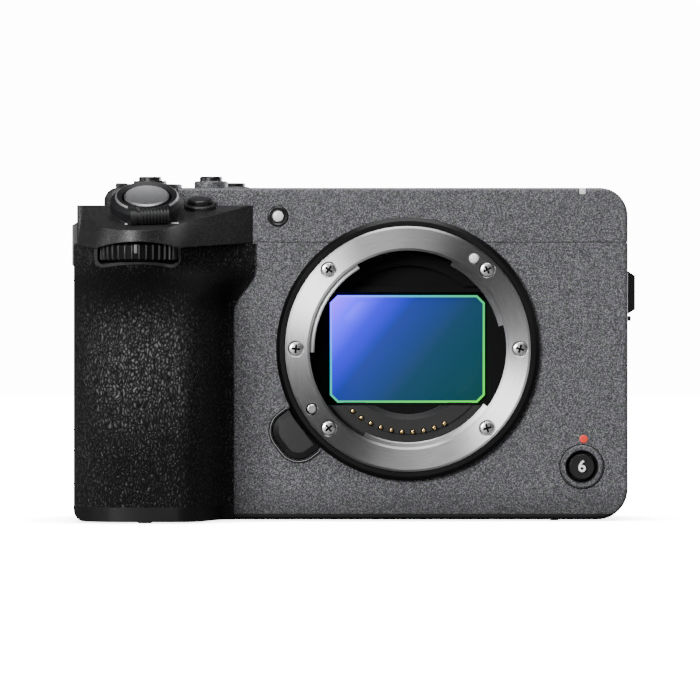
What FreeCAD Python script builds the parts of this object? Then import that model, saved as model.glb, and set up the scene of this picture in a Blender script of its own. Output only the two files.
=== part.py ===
import FreeCAD, Part
import math
import os

V = FreeCAD.Vector

# A compact full-frame cinema camera body, lens mount facing -Y, +Z up, millimetres.
# The origin is the mouth of the tripod socket, under the optical axis.

# Body envelope
front_y = -19.0
back_y = 27.0
right_x = 51.6
left_x = -77.6
base_z = 0.0
top_z = 77.8
axis_z = 40.0
far = 100.0
wall = 2.0
seam = 0.12
fit_gap = 0.25
slide_gap = 0.3
top_corner_r = 6.6
base_corner_r = 7.2
left_corner_r = 4.0
front_edge_r = 0.8
rear_edge_r = 2.5

# Where the covers part from each other
split_y = 4.0
top_split_z = top_z - 12.8
base_top_z = 1.25
base_step = 0.95
cover_left_x = -45.2
plateau_right_x = -54.0
plateau_left_x = -71.3
plateau_side_r = 3.2
shoulder_z = top_z - 4.1

# Grip: a flank is the right end of the crown, the power of the fall behind it and its bias
grip_left_x = -78.1
grip_corner_y = -25.0
grip_crown_left_x = -66.0
grip_low_flank = (-54.5, 2.4, 2.2)
grip_high_flank = (-58.5, 1.31, 0.73)
grip_flank_low_z = 51.0
grip_flank_high_z = 60.0
grip_edge_low_x = -40.8
grip_edge_high_x = -35.75
grip_lip = 0.8
grip_bottom_z = 3.4
grip_core_right_x = -47.5
core_back_y = 7.4
leather_t = 1.0
grip_split_z = top_split_z - 0.2
grip_split_slope = 0.07
grip_stations = [(grip_bottom_z, -45.5), (20.0, -47.5), (36.0, -47.3), (46.0, -44.8), (53.0, -42.2),
                 (top_split_z - 6.0, -43.4), (top_split_z + 1.0, -45.0)]
grip_edge_low_z = 49.0
grip_edge_high_z = top_split_z - 6.0
foot_corner_r = 3.0

# Grip top cover: each line of its flank runs from a place (x, y) at the joint to one on the rim
wedge_flank = [
    ((-77.3, -19.0), (-76.2, -19.0)), ((-76.9, -28.0), (-74.3, -28.5)), ((-74.4, -38.0), (-72.3, -38.5)),
    ((-71.0, -44.0), (-69.7, -43.5)), ((-67.7, -46.4), (-66.5, -46.1)), ((-61.9, -47.8), (-61.85, -47.2)),
    ((-57.0, -46.0), (-57.0, -45.05)), ((-52.5, -39.9), (-52.8, -38.6)), ((-46.6, -31.2), (-46.8, -30.3)),
    ((-36.3, -19.0), (-36.3, -19.0))]
wedge_low_z = grip_split_z - 5.0
wedge_high_z = top_z - 1.8
wedge_back_z = shoulder_z - 0.1
wedge_mid = (-33.0, top_z - 7.7)
wedge_nose = (-47.4, top_z - 10.5)
wedge_flat_y = -20.0

# Shutter button and zoom lever, tilted together towards the front
shutter_top = (-60.8, -33.0, top_z - 2.0)
shutter_tilt = 28.0
shutter_r = 5.275
shutter_dish = 0.35
shutter_stem_r = 2.0
lever_rim_r = 7.35
lever_skirt_r = 8.6
lever_drop = 3.3
lever_sleeve_r = 3.3
lever_tab_w = 9.0
lever_tab_r = 9.6
lever_tab_round = 2.2
lever_tab_turn = 6.0
lever_shoulder = 1.5
lever_rib_count = 9
lever_rib_pitch = 0.76
lever_rib_w = 0.46
lever_rib_depth = 0.4
collar_r = 8.3

# Push buttons: where the top stands, the way it faces, cap radius, how far the cap shows, travel
button_r = 2.725
button_show = 1.0
button_travel = 0.8
grip_button_top = (-48.68, -22.9, top_z - 2.65)
grip_button_tilt = 15.0
grip_collar_r = 3.725
switch_x = -61.15
switch_y = 8.0
switch_ring_r = 7.6
switch_ring_z = top_z + 1.4
switch_collar_r = 3.95
switch_collar_z = top_z + 2.2
record_x = -46.6
record_y = 6.0
record_collar_r = 4.0
record_collar_z = top_z + 2.1
side_button_x = -41.3
side_button_y = 16.0
side_collar_r = 3.7
side_collar_z = top_z + 1.0
top_button_z = top_z + 3.2
side_button_z = top_z + 1.9
front_record_x = 40.8
front_record_z = 12.4
front_record_ring_r = 5.1
front_record_recess_r = 3.9
front_record_r = 3.05
front_record_show = 0.6

# Ribbed dials and the framed window of the front one
front_dial_at = (-62.7, -37.8, grip_split_z - 4.5)
rear_dial_at = (-64.6, 20.6, top_split_z + 3.3)
dial_r = 9.2
dial_h = 4.0
dial_ribs = 34
dial_rib_w = 0.84
dial_rib_depth = 0.45
dial_pin_r = 1.5
dial_bore_gap = 0.1
dial_window_half = 9.25
dial_window_low = -0.8
dial_window_side = 3.1
dial_window_top = 4.4
dial_window_rise = 0.75
dial_window_corner = 1.5
dial_frame_w = 0.75
dial_frame_show = 0.15

# Rear controls
wheel_x = -52.5
wheel_z = 28.0
wheel_r = 11.5
wheel_inner_r = 5.2
wheel_show = 1.3
wheel_ribs = 36
centre_r = 4.6
centre_skirt_r = 6.3
stick_x = -41.5
stick_z = 50.5
stick_r = 3.4
stick_well_r = 4.4
stick_well_depth = 4.4
stick_show = 2.4
stick_pivot_depth = 3.35
stick_stem_r = 1.0
gimbal_inner_r = 1.3
gimbal_outer_r = 2.6
gimbal_h = 1.2
trunnion_r = 0.45
stick_pin_r = 0.35
rear_button_r = 3.0
rear_button_show = 0.7
rear_buttons = [("menu_button", -41.5, top_split_z - 4.8), ("fn_button", -40.6, 40.4),
                ("playback_button", -41.5, 13.5), ("delete_button", -62.5, 13.0)]

# Lens mount: the chamber drives the ring, its tabs, its screws and the surround
flange_y = -22.0
ring_back_y = -20.0
chamber_r = 25.2
ring_r = chamber_r + 3.55
surround_r = ring_r + 2.1
surround_y = -21.2
throat_r = chamber_r - 2.15
throat_edge = 0.55
lip_depth = 1.4
tab_r = throat_r - 1.15
tab_front_y = -20.5
tab_back_y = -19.2
tab_arcs = [(121.0, 182.0), (14.0, 63.0), (243.0, 324.0)]
mount_tube_r = chamber_r + 3.2
mount_screw_ring_r = chamber_r + 1.03
mount_screw_angles = [0.0, 45.0, 135.0, 180.0, 225.0, 315.0]
mount_screw_r = 1.62
mount_screw_hole_r = 1.8
lock_pin_ring_r = chamber_r + 1.3
lock_pin_angle = 212.0
lock_pin_r = 1.1
lock_pin_show = 0.7
index_ring_r = chamber_r + 1.0
index_angle = 53.9
index_r = 1.175
contact_ring_r = chamber_r - 5.7
contact_first = 228.5
contact_pitch = 7.5
contact_count = 10
contact_pin_r = 0.45
contact_front_y = -17.3
contact_back_y = -13.2
contact_half_w = 2.9
contact_band = 1.3
contact_arc = (214.0, 326.0)
contact_top_z = 26.7
release_angle = 217.5
release_w = 11.9
release_start_r = surround_r - 1.5
release_end_r = surround_r + 7.05
release_corner_r = 4.6
release_show = 1.2
release_bevel_w = 1.5
release_bevel_d = 0.8
release_rim_w = 0.55
release_rim_show = 0.25
release_travel = 1.8
release_body = 1.9

# Sensor, shutter and stabiliser
chassis_plate_y = -13.2
chassis_plate_t = 2.0
shutter_front_y = -11.1
shutter_back_y = -7.0
window_w = 38.6
window_h = 27.4
shutter_frame_w = 48.0
shutter_bottom_z = 14.6
shutter_top_z = 60.2
baffle_r = 19.65
baffle_w = 2.9
bar_w = 35.0
bar_low_z = 53.35
bar_high_z = 54.7
bracket_xs = [(-15.9, -9.1), (8.7, 15.8)]
bracket_low_z = 26.1
bracket_high_z = 27.4
blade_t = 0.25
blade_h = 9.6
blade_w = 41.0
blade_pitch_y = 0.6
blade_first_y = -9.9
sensor_w = 36.6
sensor_h = 25.4
sensor_front_y = -6.4
sensor_t = 1.0
holder_w = 43.0
holder_h = 32.0
holder_back_y = -1.3
carriage_w = 50.0
carriage_front_y = -1.0
carriage_back_y = 3.0
carriage_bottom_z = 13.0
carriage_top_z = 62.7
rail_t = 2.0

# Board, heat sink and fan
board_y = 8.0
board_t = 1.6
board_left_x = -34.0
board_right_x = 36.5
board_bottom_z = 8.0
board_top_z = 60.0
sink_t = 1.2
fin_count = 9
fin_depth = 11.0
fan_x = 12.0
fan_z = 36.0
fan_r = 13.0
fan_hub_r = 5.0
fan_front_y = 16.5
fan_back_y = 23.0
fan_blades = 9
fan_pin_r = 1.2

# Monitor
hinge_x = 48.6
hinge_y = 29.9
hinge_r = 2.5
hinge_bottom_z = 12.0
hinge_top_z = top_split_z - 5.0
hinge_arm_x = 40.0
panel_left_x = -34.6
panel_right_x = 38.4
panel_bottom_z = 7.5
panel_top_z = top_split_z - 0.5
panel_front_y = 27.5
panel_back_y = 36.1
panel_r = 3.0
tilt_pin_r = 1.5
tilt_pin_y = 30.2
screen_w = 64.0
screen_h = 44.0
screen_t = 0.8

# Battery, its door and the cards
battery_box = (-72.6, -32.6, 3.2, -49.9, 6.1, 54.9)
battery_gap = 0.4
door_left_x = -74.6
door_front_y = -33.8
door_back_y = 7.2
door_hinge_x = -48.2
door_hinge_r = 0.7
door_top_z = base_z + 1.6
latch_front_y = -22.0
latch_inset = 2.0
latch_w = 8.0
latch_l = 5.0
latch_t = 0.7
latch_travel = 3.0
card_door_front_y = 5.4
card_door_hinge_y = 23.6
card_door_bottom_z = 12.0
card_door_top_z = 50.0
card_door_t = 1.6
card_door_hinge_r = 0.6
card_l = 32.0
card_w = 24.0
card_t = 2.1
card_left_x = -74.6
card_ys = [9.0, 15.0]
card_bottom_z = 18.0

# Port covers and connectors on the right side
port_hinge_y = 5.2
port_front_y = 6.2
port_back_y = 21.5
port_cover_t = 1.6
port_covers = [("port_cover_upper", 45.6, 57.0), ("port_cover_middle", 30.0, 43.6),
               ("port_cover_lower", 14.0, 28.0)]
port_hinge_r = 0.6
hdmi_w = 14.2
hdmi_h = 4.7
hdmi_depth = 8.0

# Sockets, shoe, lugs, windows, pads
socket_r = 2.6
socket_depth = 5.5
tripod_insert_r = 4.8
insert_r = 4.2
insert_floor = 0.8
top_sockets = [(-32.0, -9.0), (34.0, -9.0), (34.0, 17.0)]
side_sockets = [(1.0, -8.0, 24.0), (-1.0, 15.5, 57.5)]
shoe_x = 10.4
shoe_front_y = 3.0
shoe_depth_z = 4.6
shoe_slot = 9.3
shoe_lip = 6.3
shoe_foot_h = 2.1
light_window_at = (-30.4, top_z - 6.7)
light_window_r = 2.45
tally_at = (41.0, top_z - 0.8)
tally_w = 1.65
pads = [(34.5, -13.0, 1.0), (44.0, 19.0, 2.5), (-70.0, 21.0, 2.5), (-61.0, -41.4, 1.6)]
pad_show = 0.3
base_screws = [(-38.0, 20.0), (-20.0, -13.0), (20.0, 20.0), (44.5, 3.0)]
base_screw_r = 1.7
base_screw_t = 0.9

# Strap lugs: side, first and last y, first and last z
strap_lugs = [(1.0, -9.5, -4.5, 48.0, 58.6), (-1.0, split_y + 1.4, split_y + 6.4, 58.6, 70.7)]
lug_reach = 2.1
lug_bevel = 1.3
lug_foot = 1.5
lug_scoop_half = 3.3
lug_scoop_depth = 1.2

# Air slots: beside the hinge behind the monitor, above the ports and in the base
rear_vents = (6, 18.0, 4.5, 1.6)
side_vents = (7, 6.0, 2.4, 1.0)
base_vents = (5, 16.0, 4.0, 1.6)


def box(x0, y0, z0, x1, y1, z1):
    return Part.makeBox(x1 - x0, y1 - y0, z1 - z0, V(x0, y0, z0))


def rod(radius, start, end):
    a = V(*start)
    b = V(*end)
    return Part.makeCylinder(radius, (b - a).Length, a, b - a)


def turned(profile):
    # a solid of revolution about local Z from (radius, height) corners
    points = [V(r, 0, h) for r, h in profile]
    face = Part.Face(Part.makePolygon(points + [points[0]]))
    return face.revolve(V(0, 0, 0), V(0, 0, 1), 360)


def placed(shape, at, direction):
    # local Z turned to the direction, local origin moved to the place
    turn = FreeCAD.Rotation(V(0, 0, 1), V(*direction))
    moved = shape.copy()
    moved.Placement = FreeCAD.Placement(V(*at), turn).multiply(moved.Placement)
    return moved


def facing_front(shape, back_y):
    # local X to X, local Y to height above the optical axis, local Z towards the front
    moved = shape.copy()
    turn = FreeCAD.Rotation(V(1, 0, 0), 90)
    moved.Placement = FreeCAD.Placement(V(0, back_y, axis_z), turn).multiply(moved.Placement)
    return moved


def joined(shapes):
    first = shapes[0]
    if len(shapes) == 1:
        return first
    return first.fuse(shapes[1:]).removeSplitter()


def rounded_prism(x0, z0, x1, z1, radii, y0, y1):
    # an upright outline in XZ with its own radius at each corner, run along Y
    # radii in the order low left, low right, high right, high left
    corners = [(x0, z0, 1, 1), (x1, z0, -1, 1), (x1, z1, -1, -1), (x0, z1, 1, -1)]
    starts = [(0, 1), (-1, 0), (0, -1), (1, 0)]
    edges = []
    nodes = []
    for (x, z, sx, sz), r in zip(corners, radii):
        horizontal = V(x + sx * r, y0, z)
        vertical = V(x, y0, z + sz * r)
        middle = V(x + sx * r * (1 - math.sqrt(0.5)), y0, z + sz * r * (1 - math.sqrt(0.5)))
        nodes.append((horizontal, middle, vertical))
    order = [(2, 0), (0, 2), (2, 0), (0, 2)]
    previous = None
    first = None
    for (h, m, v), (a, b) in zip(nodes, order):
        trio = (h, m, v)
        start, end = trio[a], trio[b]
        if previous is not None:
            edges.append(Part.makeLine(previous, start))
        else:
            first = start
        edges.append(Part.Arc(start, m, end).toShape())
        previous = end
    edges.append(Part.makeLine(previous, first))
    return Part.Face(Part.Wire(edges)).extrude(V(0, y1 - y0, 0))


def polar(radius, angle):
    a = math.radians(angle)
    return radius * math.cos(a), axis_z + radius * math.sin(a)


def mount_ring(outer, inner, front, back):
    return rod(outer, (0, back, axis_z), (0, front, axis_z)).cut(
        rod(inner, (0, back + 1, axis_z), (0, front - 1, axis_z)))


def mount_sector(inner, outer, first, last, front, back):
    # part of a ring about the optical axis, angles seen from the front
    a0, a1, am = [math.radians(a) for a in (first, last, (first + last) / 2)]

    def at(r, a):
        return V(r * math.cos(a), r * math.sin(a), 0)

    edges = [
        Part.Arc(at(outer, a0), at(outer, am), at(outer, a1)).toShape(),
        Part.makeLine(at(outer, a1), at(inner, a1)),
        Part.Arc(at(inner, a1), at(inner, am), at(inner, a0)).toShape(),
        Part.makeLine(at(inner, a0), at(outer, a0)),
    ]
    solid = Part.Face(Part.Wire(edges)).extrude(V(0, 0, back - front))
    return facing_front(solid, back)


def yz_prism(points, x0, x1):
    corners = [V(x0, y, z) for y, z in points]
    face = Part.Face(Part.makePolygon(corners + [corners[0]]))
    return face.extrude(V(x1 - x0, 0, 0))


def edges_at(shape, test):
    return [edge for edge in shape.Edges if test(edge.BoundBox)]


def body_block():
    # the whole box of the camera without grip and controls, front and rear edges eased
    radii = (left_corner_r, base_corner_r, top_corner_r, left_corner_r)
    block = rounded_prism(left_x, base_z, right_x, top_z, radii, front_y, back_y)
    front = edges_at(block, lambda b: b.YMax < front_y + 0.01)
    block = block.makeFillet(front_edge_r, front)
    rear = edges_at(block, lambda b: b.YMin > back_y - 0.01)
    return block.makeFillet(rear_edge_r, rear)


def body_cavity():
    left_r = left_corner_r - wall + 0.5
    radii = (left_r, base_corner_r - wall, top_corner_r - wall, left_r)
    return rounded_prism(left_x + wall, base_top_z, right_x - wall, top_z - wall,
                         radii, front_y + wall, back_y - wall)


def grip_joint_z(y):
    # height of the slanted joint between leather and grip top cover
    return grip_split_z + (y - front_y) * grip_split_slope


def above_grip_split(gap):
    low = [(-far, grip_joint_z(-far) + gap), (front_y, grip_split_z + gap)]
    return yz_prism(low + [(front_y, far), (-far, far)], -far, -20.0)


def tilted(angle):
    # a direction leaning from +Z towards the front
    a = math.radians(angle)
    return (0.0, -math.sin(a), math.cos(a))


def button_solid(radius, show, travel):
    # cap and stem, top at local zero, guided by its stem below the cap
    edge = 0.25
    cap = show + travel
    stem_r = radius * 0.5
    return turned([(0, 0), (radius - edge, 0), (radius, -edge), (radius, -cap),
                   (stem_r, -cap), (stem_r, -cap - 2.0), (0, -cap - 2.0)])


def button_well(radius, show, travel):
    # room for the cap over its travel and for the stem
    stem_r = radius * 0.5 + fit_gap
    depth = show + 2 * travel + slide_gap
    return turned([(0, 1.0), (radius + fit_gap, 1.0), (radius + fit_gap, -depth),
                   (stem_r, -depth), (stem_r, -depth - 6.0), (0, -depth - 6.0)])


def grip_button_place():
    return grip_button_top, tilted(grip_button_tilt)


def top_controls():
    # name, place of the top, cap radius, collar radius, collar height
    return [
        ("top_button_rear", (switch_x, switch_y, top_button_z), switch_collar_r, switch_collar_z),
        ("top_record_button", (record_x, record_y, top_button_z), record_collar_r, record_collar_z),
        ("top_button_side", (side_button_x, side_button_y, side_button_z), side_collar_r, side_collar_z),
    ]


def grip_nose(z):
    # how far the grip reaches forward at a height, smoothed through its stations
    heights = [station[0] for station in grip_stations]
    noses = [station[1] for station in grip_stations]
    last = len(heights) - 1
    slopes = []
    for index in range(len(heights)):
        low = max(index - 1, 0)
        high = min(index + 1, last)
        slopes.append((noses[high] - noses[low]) / (heights[high] - heights[low]))
    index = 0
    while index < last - 1 and z > heights[index + 1]:
        index += 1
    span = heights[index + 1] - heights[index]
    t = (z - heights[index]) / span
    return ((2 * t ** 3 - 3 * t ** 2 + 1) * noses[index] + (t ** 3 - 2 * t ** 2 + t) * span * slopes[index]
            + (3 * t ** 2 - 2 * t ** 3) * noses[index + 1] + (t ** 3 - t ** 2) * span * slopes[index + 1])


def eased(value, low, high):
    # 0 below the low value, 1 above the high one, smooth between
    share = min(1.0, max(0.0, (value - low) / (high - low)))
    return share * share * (3 - 2 * share)


def grip_edge(z):
    share = eased(z, grip_edge_low_z, grip_edge_high_z)
    return grip_edge_low_x + (grip_edge_high_x - grip_edge_low_x) * share


def grip_flank(z):
    # the full flank turns into the diagonal one that follows the top cover
    share = eased(z, grip_flank_low_z, grip_flank_high_z)
    return [low + (high - low) * share for low, high in zip(grip_low_flank, grip_high_flank)]


def grip_row(z, inset):
    # points across the front of the grip at one height, from its left side to its right edge
    nose_y = grip_nose(z) + inset
    edge_x = grip_edge(z) - inset * 0.6
    side_x = grip_left_x + inset
    foot_y = front_y - grip_lip + inset
    crown_x, power, bias = grip_flank(z)
    crown_x -= inset
    corner_steps = 6
    blend_steps = 8
    row = []
    for step in range(corner_steps + 1):
        a = math.radians(90.0 * step / corner_steps)
        x = grip_crown_left_x - (grip_crown_left_x - side_x) * math.cos(a)
        row.append(V(x, grip_corner_y + (nose_y - grip_corner_y) * math.sin(a), z))
    for step in range(blend_steps + 1):
        share = step / blend_steps
        rise = share ** power
        fall = bias * (1 - share) ** power
        ease = rise / (rise + fall)
        row.append(V(crown_x + (edge_x - crown_x) * share, nose_y + (foot_y - nose_y) * ease, z))
    return row


def grip_body(inset):
    # the swelling front as one surface, run back to the joint with the rear cover
    low = grip_stations[0][0]
    high = grip_stations[-1][0]
    rows = 28
    grid = [grip_row(low + (high - low) * index / (rows - 1), inset) for index in range(rows)]
    surface = Part.BSplineSurface()
    surface.interpolate(grid)
    solid = surface.toShape().extrude(V(0, far, 0))
    return solid.common(box(-far, -far, low - 1, 0, split_y - seam, high + 1))


def grip_clearance():
    # what the front cover and the inside of the body take from the grip
    return box(grip_core_right_x, front_y - 0.02, -far, 0, far, far)


def dial_room(at):
    x, y, z = at
    return rod(dial_r + fit_gap, (x, y, z - fit_gap), (x, y, z + dial_h + slide_gap))


def dial_window(grow, back):
    # the window of the front dial: arched above, hollow below, with rounded lower corners
    x, y, z = front_dial_at
    half = dial_window_half + grow
    r = dial_window_corner + grow
    k = r * math.sqrt(0.5)
    low = z + dial_window_low - grow
    side = z + dial_window_side
    left = x - half
    right = x + half
    edges = [
        Part.Arc(V(left + r, 0, low), V(x, 0, low + dial_window_rise), V(right - r, 0, low)).toShape(),
        Part.Arc(V(right - r, 0, low), V(right - r + k, 0, low + r - k), V(right, 0, low + r)).toShape(),
        Part.makeLine(V(right, 0, low + r), V(right, 0, side)),
        Part.Arc(V(right, 0, side), V(x, 0, z + dial_window_top), V(left, 0, side)).toShape(),
        Part.makeLine(V(left, 0, side), V(left, 0, low + r)),
        Part.Arc(V(left, 0, low + r), V(left + r - k, 0, low + r - k), V(left + r, 0, low)).toShape(),
    ]
    window = Part.Face(Part.Wire(edges)).extrude(V(0, back + far, 0))
    window.translate(V(0, -far, 0))
    return window


def make_grip():
    x, y, z = front_dial_at
    inner = grip_body(leather_t)
    above = above_grip_split(-seam / 2)
    over_body = box(-far, front_y - 0.5, grip_split_z - seam / 2, 0, far, far)
    away = [grip_clearance(), above, over_body, dial_room(front_dial_at), dial_window(0.0, y)]
    frame = dial_window(dial_frame_w, y + 3.0)
    leather = grip_body(0.0).cut([inner, frame] + away)
    x0, y0, z0, x1, y1, z1 = battery_box
    g = battery_gap
    bay = box(x0 - g, y0 - g, -1, x1 + g, y1 + g, z1 + g)
    rear = box(left_x + wall + slide_gap, split_y - 0.3, grip_bottom_z, grip_core_right_x, core_back_y,
               grip_split_z - 1)
    frame = grip_body(-dial_frame_show).common(frame)
    core = joined([inner, rear, frame]).cut(away + [bay])
    pin = rod(dial_pin_r, (x, y, z - 2.0), (x, y, z + dial_h))
    return core.fuse(pin), leather


def wedge_top_arc():
    return Part.Arc(V(-far, wedge_flat_y, wedge_back_z), V(-far, *wedge_mid), V(-far, *wedge_nose)).toShape()


def wedge_top_z(y):
    circle = wedge_top_arc().Curve
    return circle.Center.z - math.sqrt(circle.Radius ** 2 - (y - circle.Center.y) ** 2)


def wedge_wire(z):
    # the flank's outline at a height, each of its lines run on straight past joint and rim
    points = []
    for (foot_x, foot_y), (rim_x, rim_y) in wedge_flank:
        foot = V(foot_x, foot_y, grip_joint_z(foot_y))
        rim = V(rim_x, rim_y, wedge_top_z(rim_y))
        points.append(foot + (rim - foot) * ((z - foot.z) / (rim.z - foot.z)))
    curve = Part.BSplineCurve()
    curve.interpolate(Points=points[:-1], InitialTangent=points[1] - points[0],
                      FinalTangent=points[-1] - points[-2])
    tail = Part.makeLine(points[-2], points[-1])
    return Part.Wire([curve.toShape(), tail, Part.makeLine(points[-1], points[0])])


def wedge_room():
    # below the hollowed top surface of the grip top cover
    flat = V(-far, wedge_flat_y, wedge_back_z)
    nose = V(-far, *wedge_nose)
    slope = (wedge_mid[1] - wedge_nose[1]) / (wedge_mid[0] - wedge_nose[0]) * 0.5
    front = V(-far, -far, nose.z - slope * (far + nose.y))
    back = V(-far, far, wedge_back_z)
    front_low = V(-far, -far, base_z)
    back_low = V(-far, far, base_z)
    edges = [Part.makeLine(back, flat), wedge_top_arc(), Part.makeLine(nose, front),
             Part.makeLine(front, front_low), Part.makeLine(front_low, back_low),
             Part.makeLine(back_low, back)]
    return Part.Face(Part.Wire(edges)).extrude(V(far, 0, 0))


def make_grip_top_cover(block):
    wedge = Part.makeLoft([wedge_wire(wedge_low_z), wedge_wire(wedge_high_z)], True, True)
    wedge = wedge.common(wedge_room()).common(above_grip_split(seam / 2))
    shoulder = box(left_x - 1, front_y - 0.5, top_split_z, plateau_right_x - seam, back_y + 1, top_z + 1)
    rear = block.common(shoulder)
    high_part = box(left_x - 1, front_y - 1, shoulder_z, plateau_left_x, back_y + 1, top_z + 1)
    rear = rear.cut(high_part)
    corner = edges_at(rear, lambda b: b.XMin > plateau_left_x - 0.01 and b.XMax < plateau_left_x + 0.01
                      and b.ZMin > top_z - 0.01)
    rear = rear.makeFillet(plateau_side_r, corner)
    hollow_low = box(left_x + wall, front_y + wall, top_split_z - 1, plateau_right_x - wall, back_y - wall,
                     shoulder_z - wall)
    hollow_high = box(plateau_left_x + wall, front_y + wall, top_split_z - 1, plateau_right_x - wall,
                      back_y - wall, top_z - wall)
    cover = joined([wedge, rear]).cut([hollow_low, hollow_high])
    # collars that carry the controls
    down = tilted(shutter_tilt)
    collar = placed(turned([(0, -lever_drop - slide_gap), (collar_r, -lever_drop - slide_gap),
                            (collar_r, -10.5), (0, -10.5)]), shutter_top, down)
    collar = collar.common(above_grip_split(seam / 2))
    at, direction = grip_button_place()
    small = placed(turned([(0, -1.2), (grip_collar_r - 0.3, -1.2), (grip_collar_r, -1.5),
                           (grip_collar_r, -7.5), (0, -7.5)]), at, direction)
    small = small.cut(box(-far, front_y - seam, -far, far, far, far))
    cover = joined([cover, collar, small])
    x, y, z = rear_dial_at
    pin_foot = box(x - 4, y - 4, z + dial_h + 0.4, x + 4, back_y - 1.0, shoulder_z)
    pin = rod(dial_pin_r, (x, y, z - 0.2), (x, y, z + dial_h + 1.0))
    shelf = box(x - 9, y - 5, top_split_z, x + 9, back_y - 1.0, z - 0.4)
    cover = cover.cut(dial_room(rear_dial_at))
    cover = joined([cover, pin_foot, pin, shelf])
    name, top, collar_radius, collar_z = top_controls()[0]
    post = rod(collar_radius, (top[0], top[1], top_z - 4), (top[0], top[1], collar_z))
    cover = joined([cover, post])
    shutter_well = placed(shutter_hole(), shutter_top, down)
    small_well = placed(button_well(button_r, button_show, button_travel), at, direction)
    top_well = placed(button_well(button_r, button_show, button_travel), top, (0, 0, 1))
    window = dial_window(0.0, front_dial_at[1])
    return cover.cut([shutter_well, small_well, top_well, dial_room(front_dial_at), window, left_lug_scoop()])


def shutter_hole():
    # the stem of the shutter button and the sleeve of the lever pass through the collar
    sleeve_r = lever_sleeve_r + fit_gap
    stem_r = shutter_stem_r + fit_gap
    return turned([(0, 1), (sleeve_r, 1), (sleeve_r, -6.2), (stem_r, -6.2), (stem_r, -8.6), (0, -8.6)])


def make_shutter_button():
    steps = 6
    profile = [(0, -1.6), (0, -shutter_dish)]
    for step in range(1, steps + 1):
        r = (shutter_r - 0.4) * step / steps
        profile.append((r, -shutter_dish * (1 - (step / steps) ** 2)))
    profile += [(shutter_r, -0.3), (shutter_r, -1.6)]
    cap = turned(profile)
    stem = turned([(0, -1.2), (shutter_stem_r, -1.2), (shutter_stem_r, -7.0), (0, -7.0)])
    return placed(cap.fuse(stem), shutter_top, tilted(shutter_tilt))


def tab_slice(x0, x1, inset):
    # the lever's finger tab between two places across it: flat on top, rounded over, straight down
    top = -0.1 - inset
    front = -lever_tab_r + inset
    r = lever_tab_round - inset
    k = r * (1 - math.sqrt(0.5))
    inner = -shutter_r - 0.6
    low = -lever_drop + 0.6
    edges = [
        Part.makeLine(V(x0, inner, low), V(x0, front, low)),
        Part.makeLine(V(x0, front, low), V(x0, front, top - r)),
        Part.Arc(V(x0, front, top - r), V(x0, front + k, top - k), V(x0, front + r, top)).toShape(),
        Part.makeLine(V(x0, front + r, top), V(x0, inner, top)),
        Part.makeLine(V(x0, inner, top), V(x0, inner, low)),
    ]
    return Part.Face(Part.Wire(edges)).extrude(V(x1 - x0, 0, 0))


def make_zoom_lever():
    cup_r = shutter_r + 0.55
    bore_r = shutter_stem_r + 0.3
    ring = turned([
        (bore_r, -2.9), (cup_r, -2.9), (cup_r, -0.55), (lever_rim_r - 0.35, -0.1),
        (lever_rim_r, -0.45), (lever_rim_r + 0.35, -0.8), (lever_skirt_r - 0.15, -1.5),
        (lever_skirt_r, -lever_drop), (lever_sleeve_r, -lever_drop), (lever_sleeve_r, -5.6), (bore_r, -5.6)])
    half = lever_tab_w / 2
    slices = [tab_slice(-half, -half + lever_shoulder, 0.0), tab_slice(-half + 0.1, half, lever_rib_depth)]
    last = half - lever_rib_w / 2
    for index in range(lever_rib_count):
        x = last - index * lever_rib_pitch
        slices.append(tab_slice(x - lever_rib_w / 2, x + lever_rib_w / 2, 0.0))
    tab = joined(slices)
    tab.rotate(V(0, 0, 0), V(0, 0, 1), lever_tab_turn)
    return placed(joined([ring, tab]), shutter_top, tilted(shutter_tilt))


def make_dial(at):
    x, y, z = at
    body = turned([(dial_pin_r + dial_bore_gap, 0), (dial_r - 0.5, 0), (dial_r, 0.5), (dial_r, dial_h - 0.5),
                   (dial_r - 0.5, dial_h), (dial_pin_r + dial_bore_gap, dial_h)])
    half = dial_rib_w / 2
    groove = box(dial_r - dial_rib_depth, -half, -1, dial_r + 1, half, dial_h + 1)
    grooves = []
    for index in range(dial_ribs):
        cut = groove.copy()
        cut.rotate(V(0, 0, 0), V(0, 0, 1), 360.0 / dial_ribs * index)
        grooves.append(cut)
    body = body.cut(grooves)
    body.translate(V(x, y, z))
    return body


def release_wire(grow, height):
    # outline of the release slot with its axis along X: square under the surround, round at its end
    half = release_w / 2 + grow
    start = release_start_r
    end = release_end_r + grow
    r = release_corner_r + grow
    k = r * (1 - math.sqrt(0.5))
    return Part.Wire([
        Part.makeLine(V(start, -half, height), V(end - r, -half, height)),
        Part.Arc(V(end - r, -half, height), V(end - k, k - half, height), V(end, r - half, height)).toShape(),
        Part.makeLine(V(end, r - half, height), V(end, half - r, height)),
        Part.Arc(V(end, half - r, height), V(end - k, half - k, height), V(end - r, half, height)).toShape(),
        Part.makeLine(V(end - r, half, height), V(start, half, height)),
        Part.makeLine(V(start, half, height), V(start, -half, height)),
    ])


def release_placed(solid, y_back):
    solid.rotate(V(0, 0, 0), V(0, 0, 1), release_angle)
    return facing_front(solid, y_back)


def release_shape(grow, y_front, y_back):
    solid = Part.Face(release_wire(grow, 0)).extrude(V(0, 0, y_back - y_front))
    return release_placed(solid, y_back)


def lug_scoop(lug):
    # the hollow in the body's side behind a lug's bar, where the strap passes
    side, y0, y1, z0, z1 = lug
    x = right_x if side > 0 else left_x
    r = (lug_scoop_half ** 2 + lug_scoop_depth ** 2) / (2 * lug_scoop_depth)
    centre_x = x + side * (r - lug_scoop_depth)
    centre_y = (y0 + y1) / 2
    return rod(r, (centre_x, centre_y, z0 + lug_foot), (centre_x, centre_y, z1 - lug_foot))


def left_lug_scoop():
    return lug_scoop(strap_lugs[1])


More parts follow.
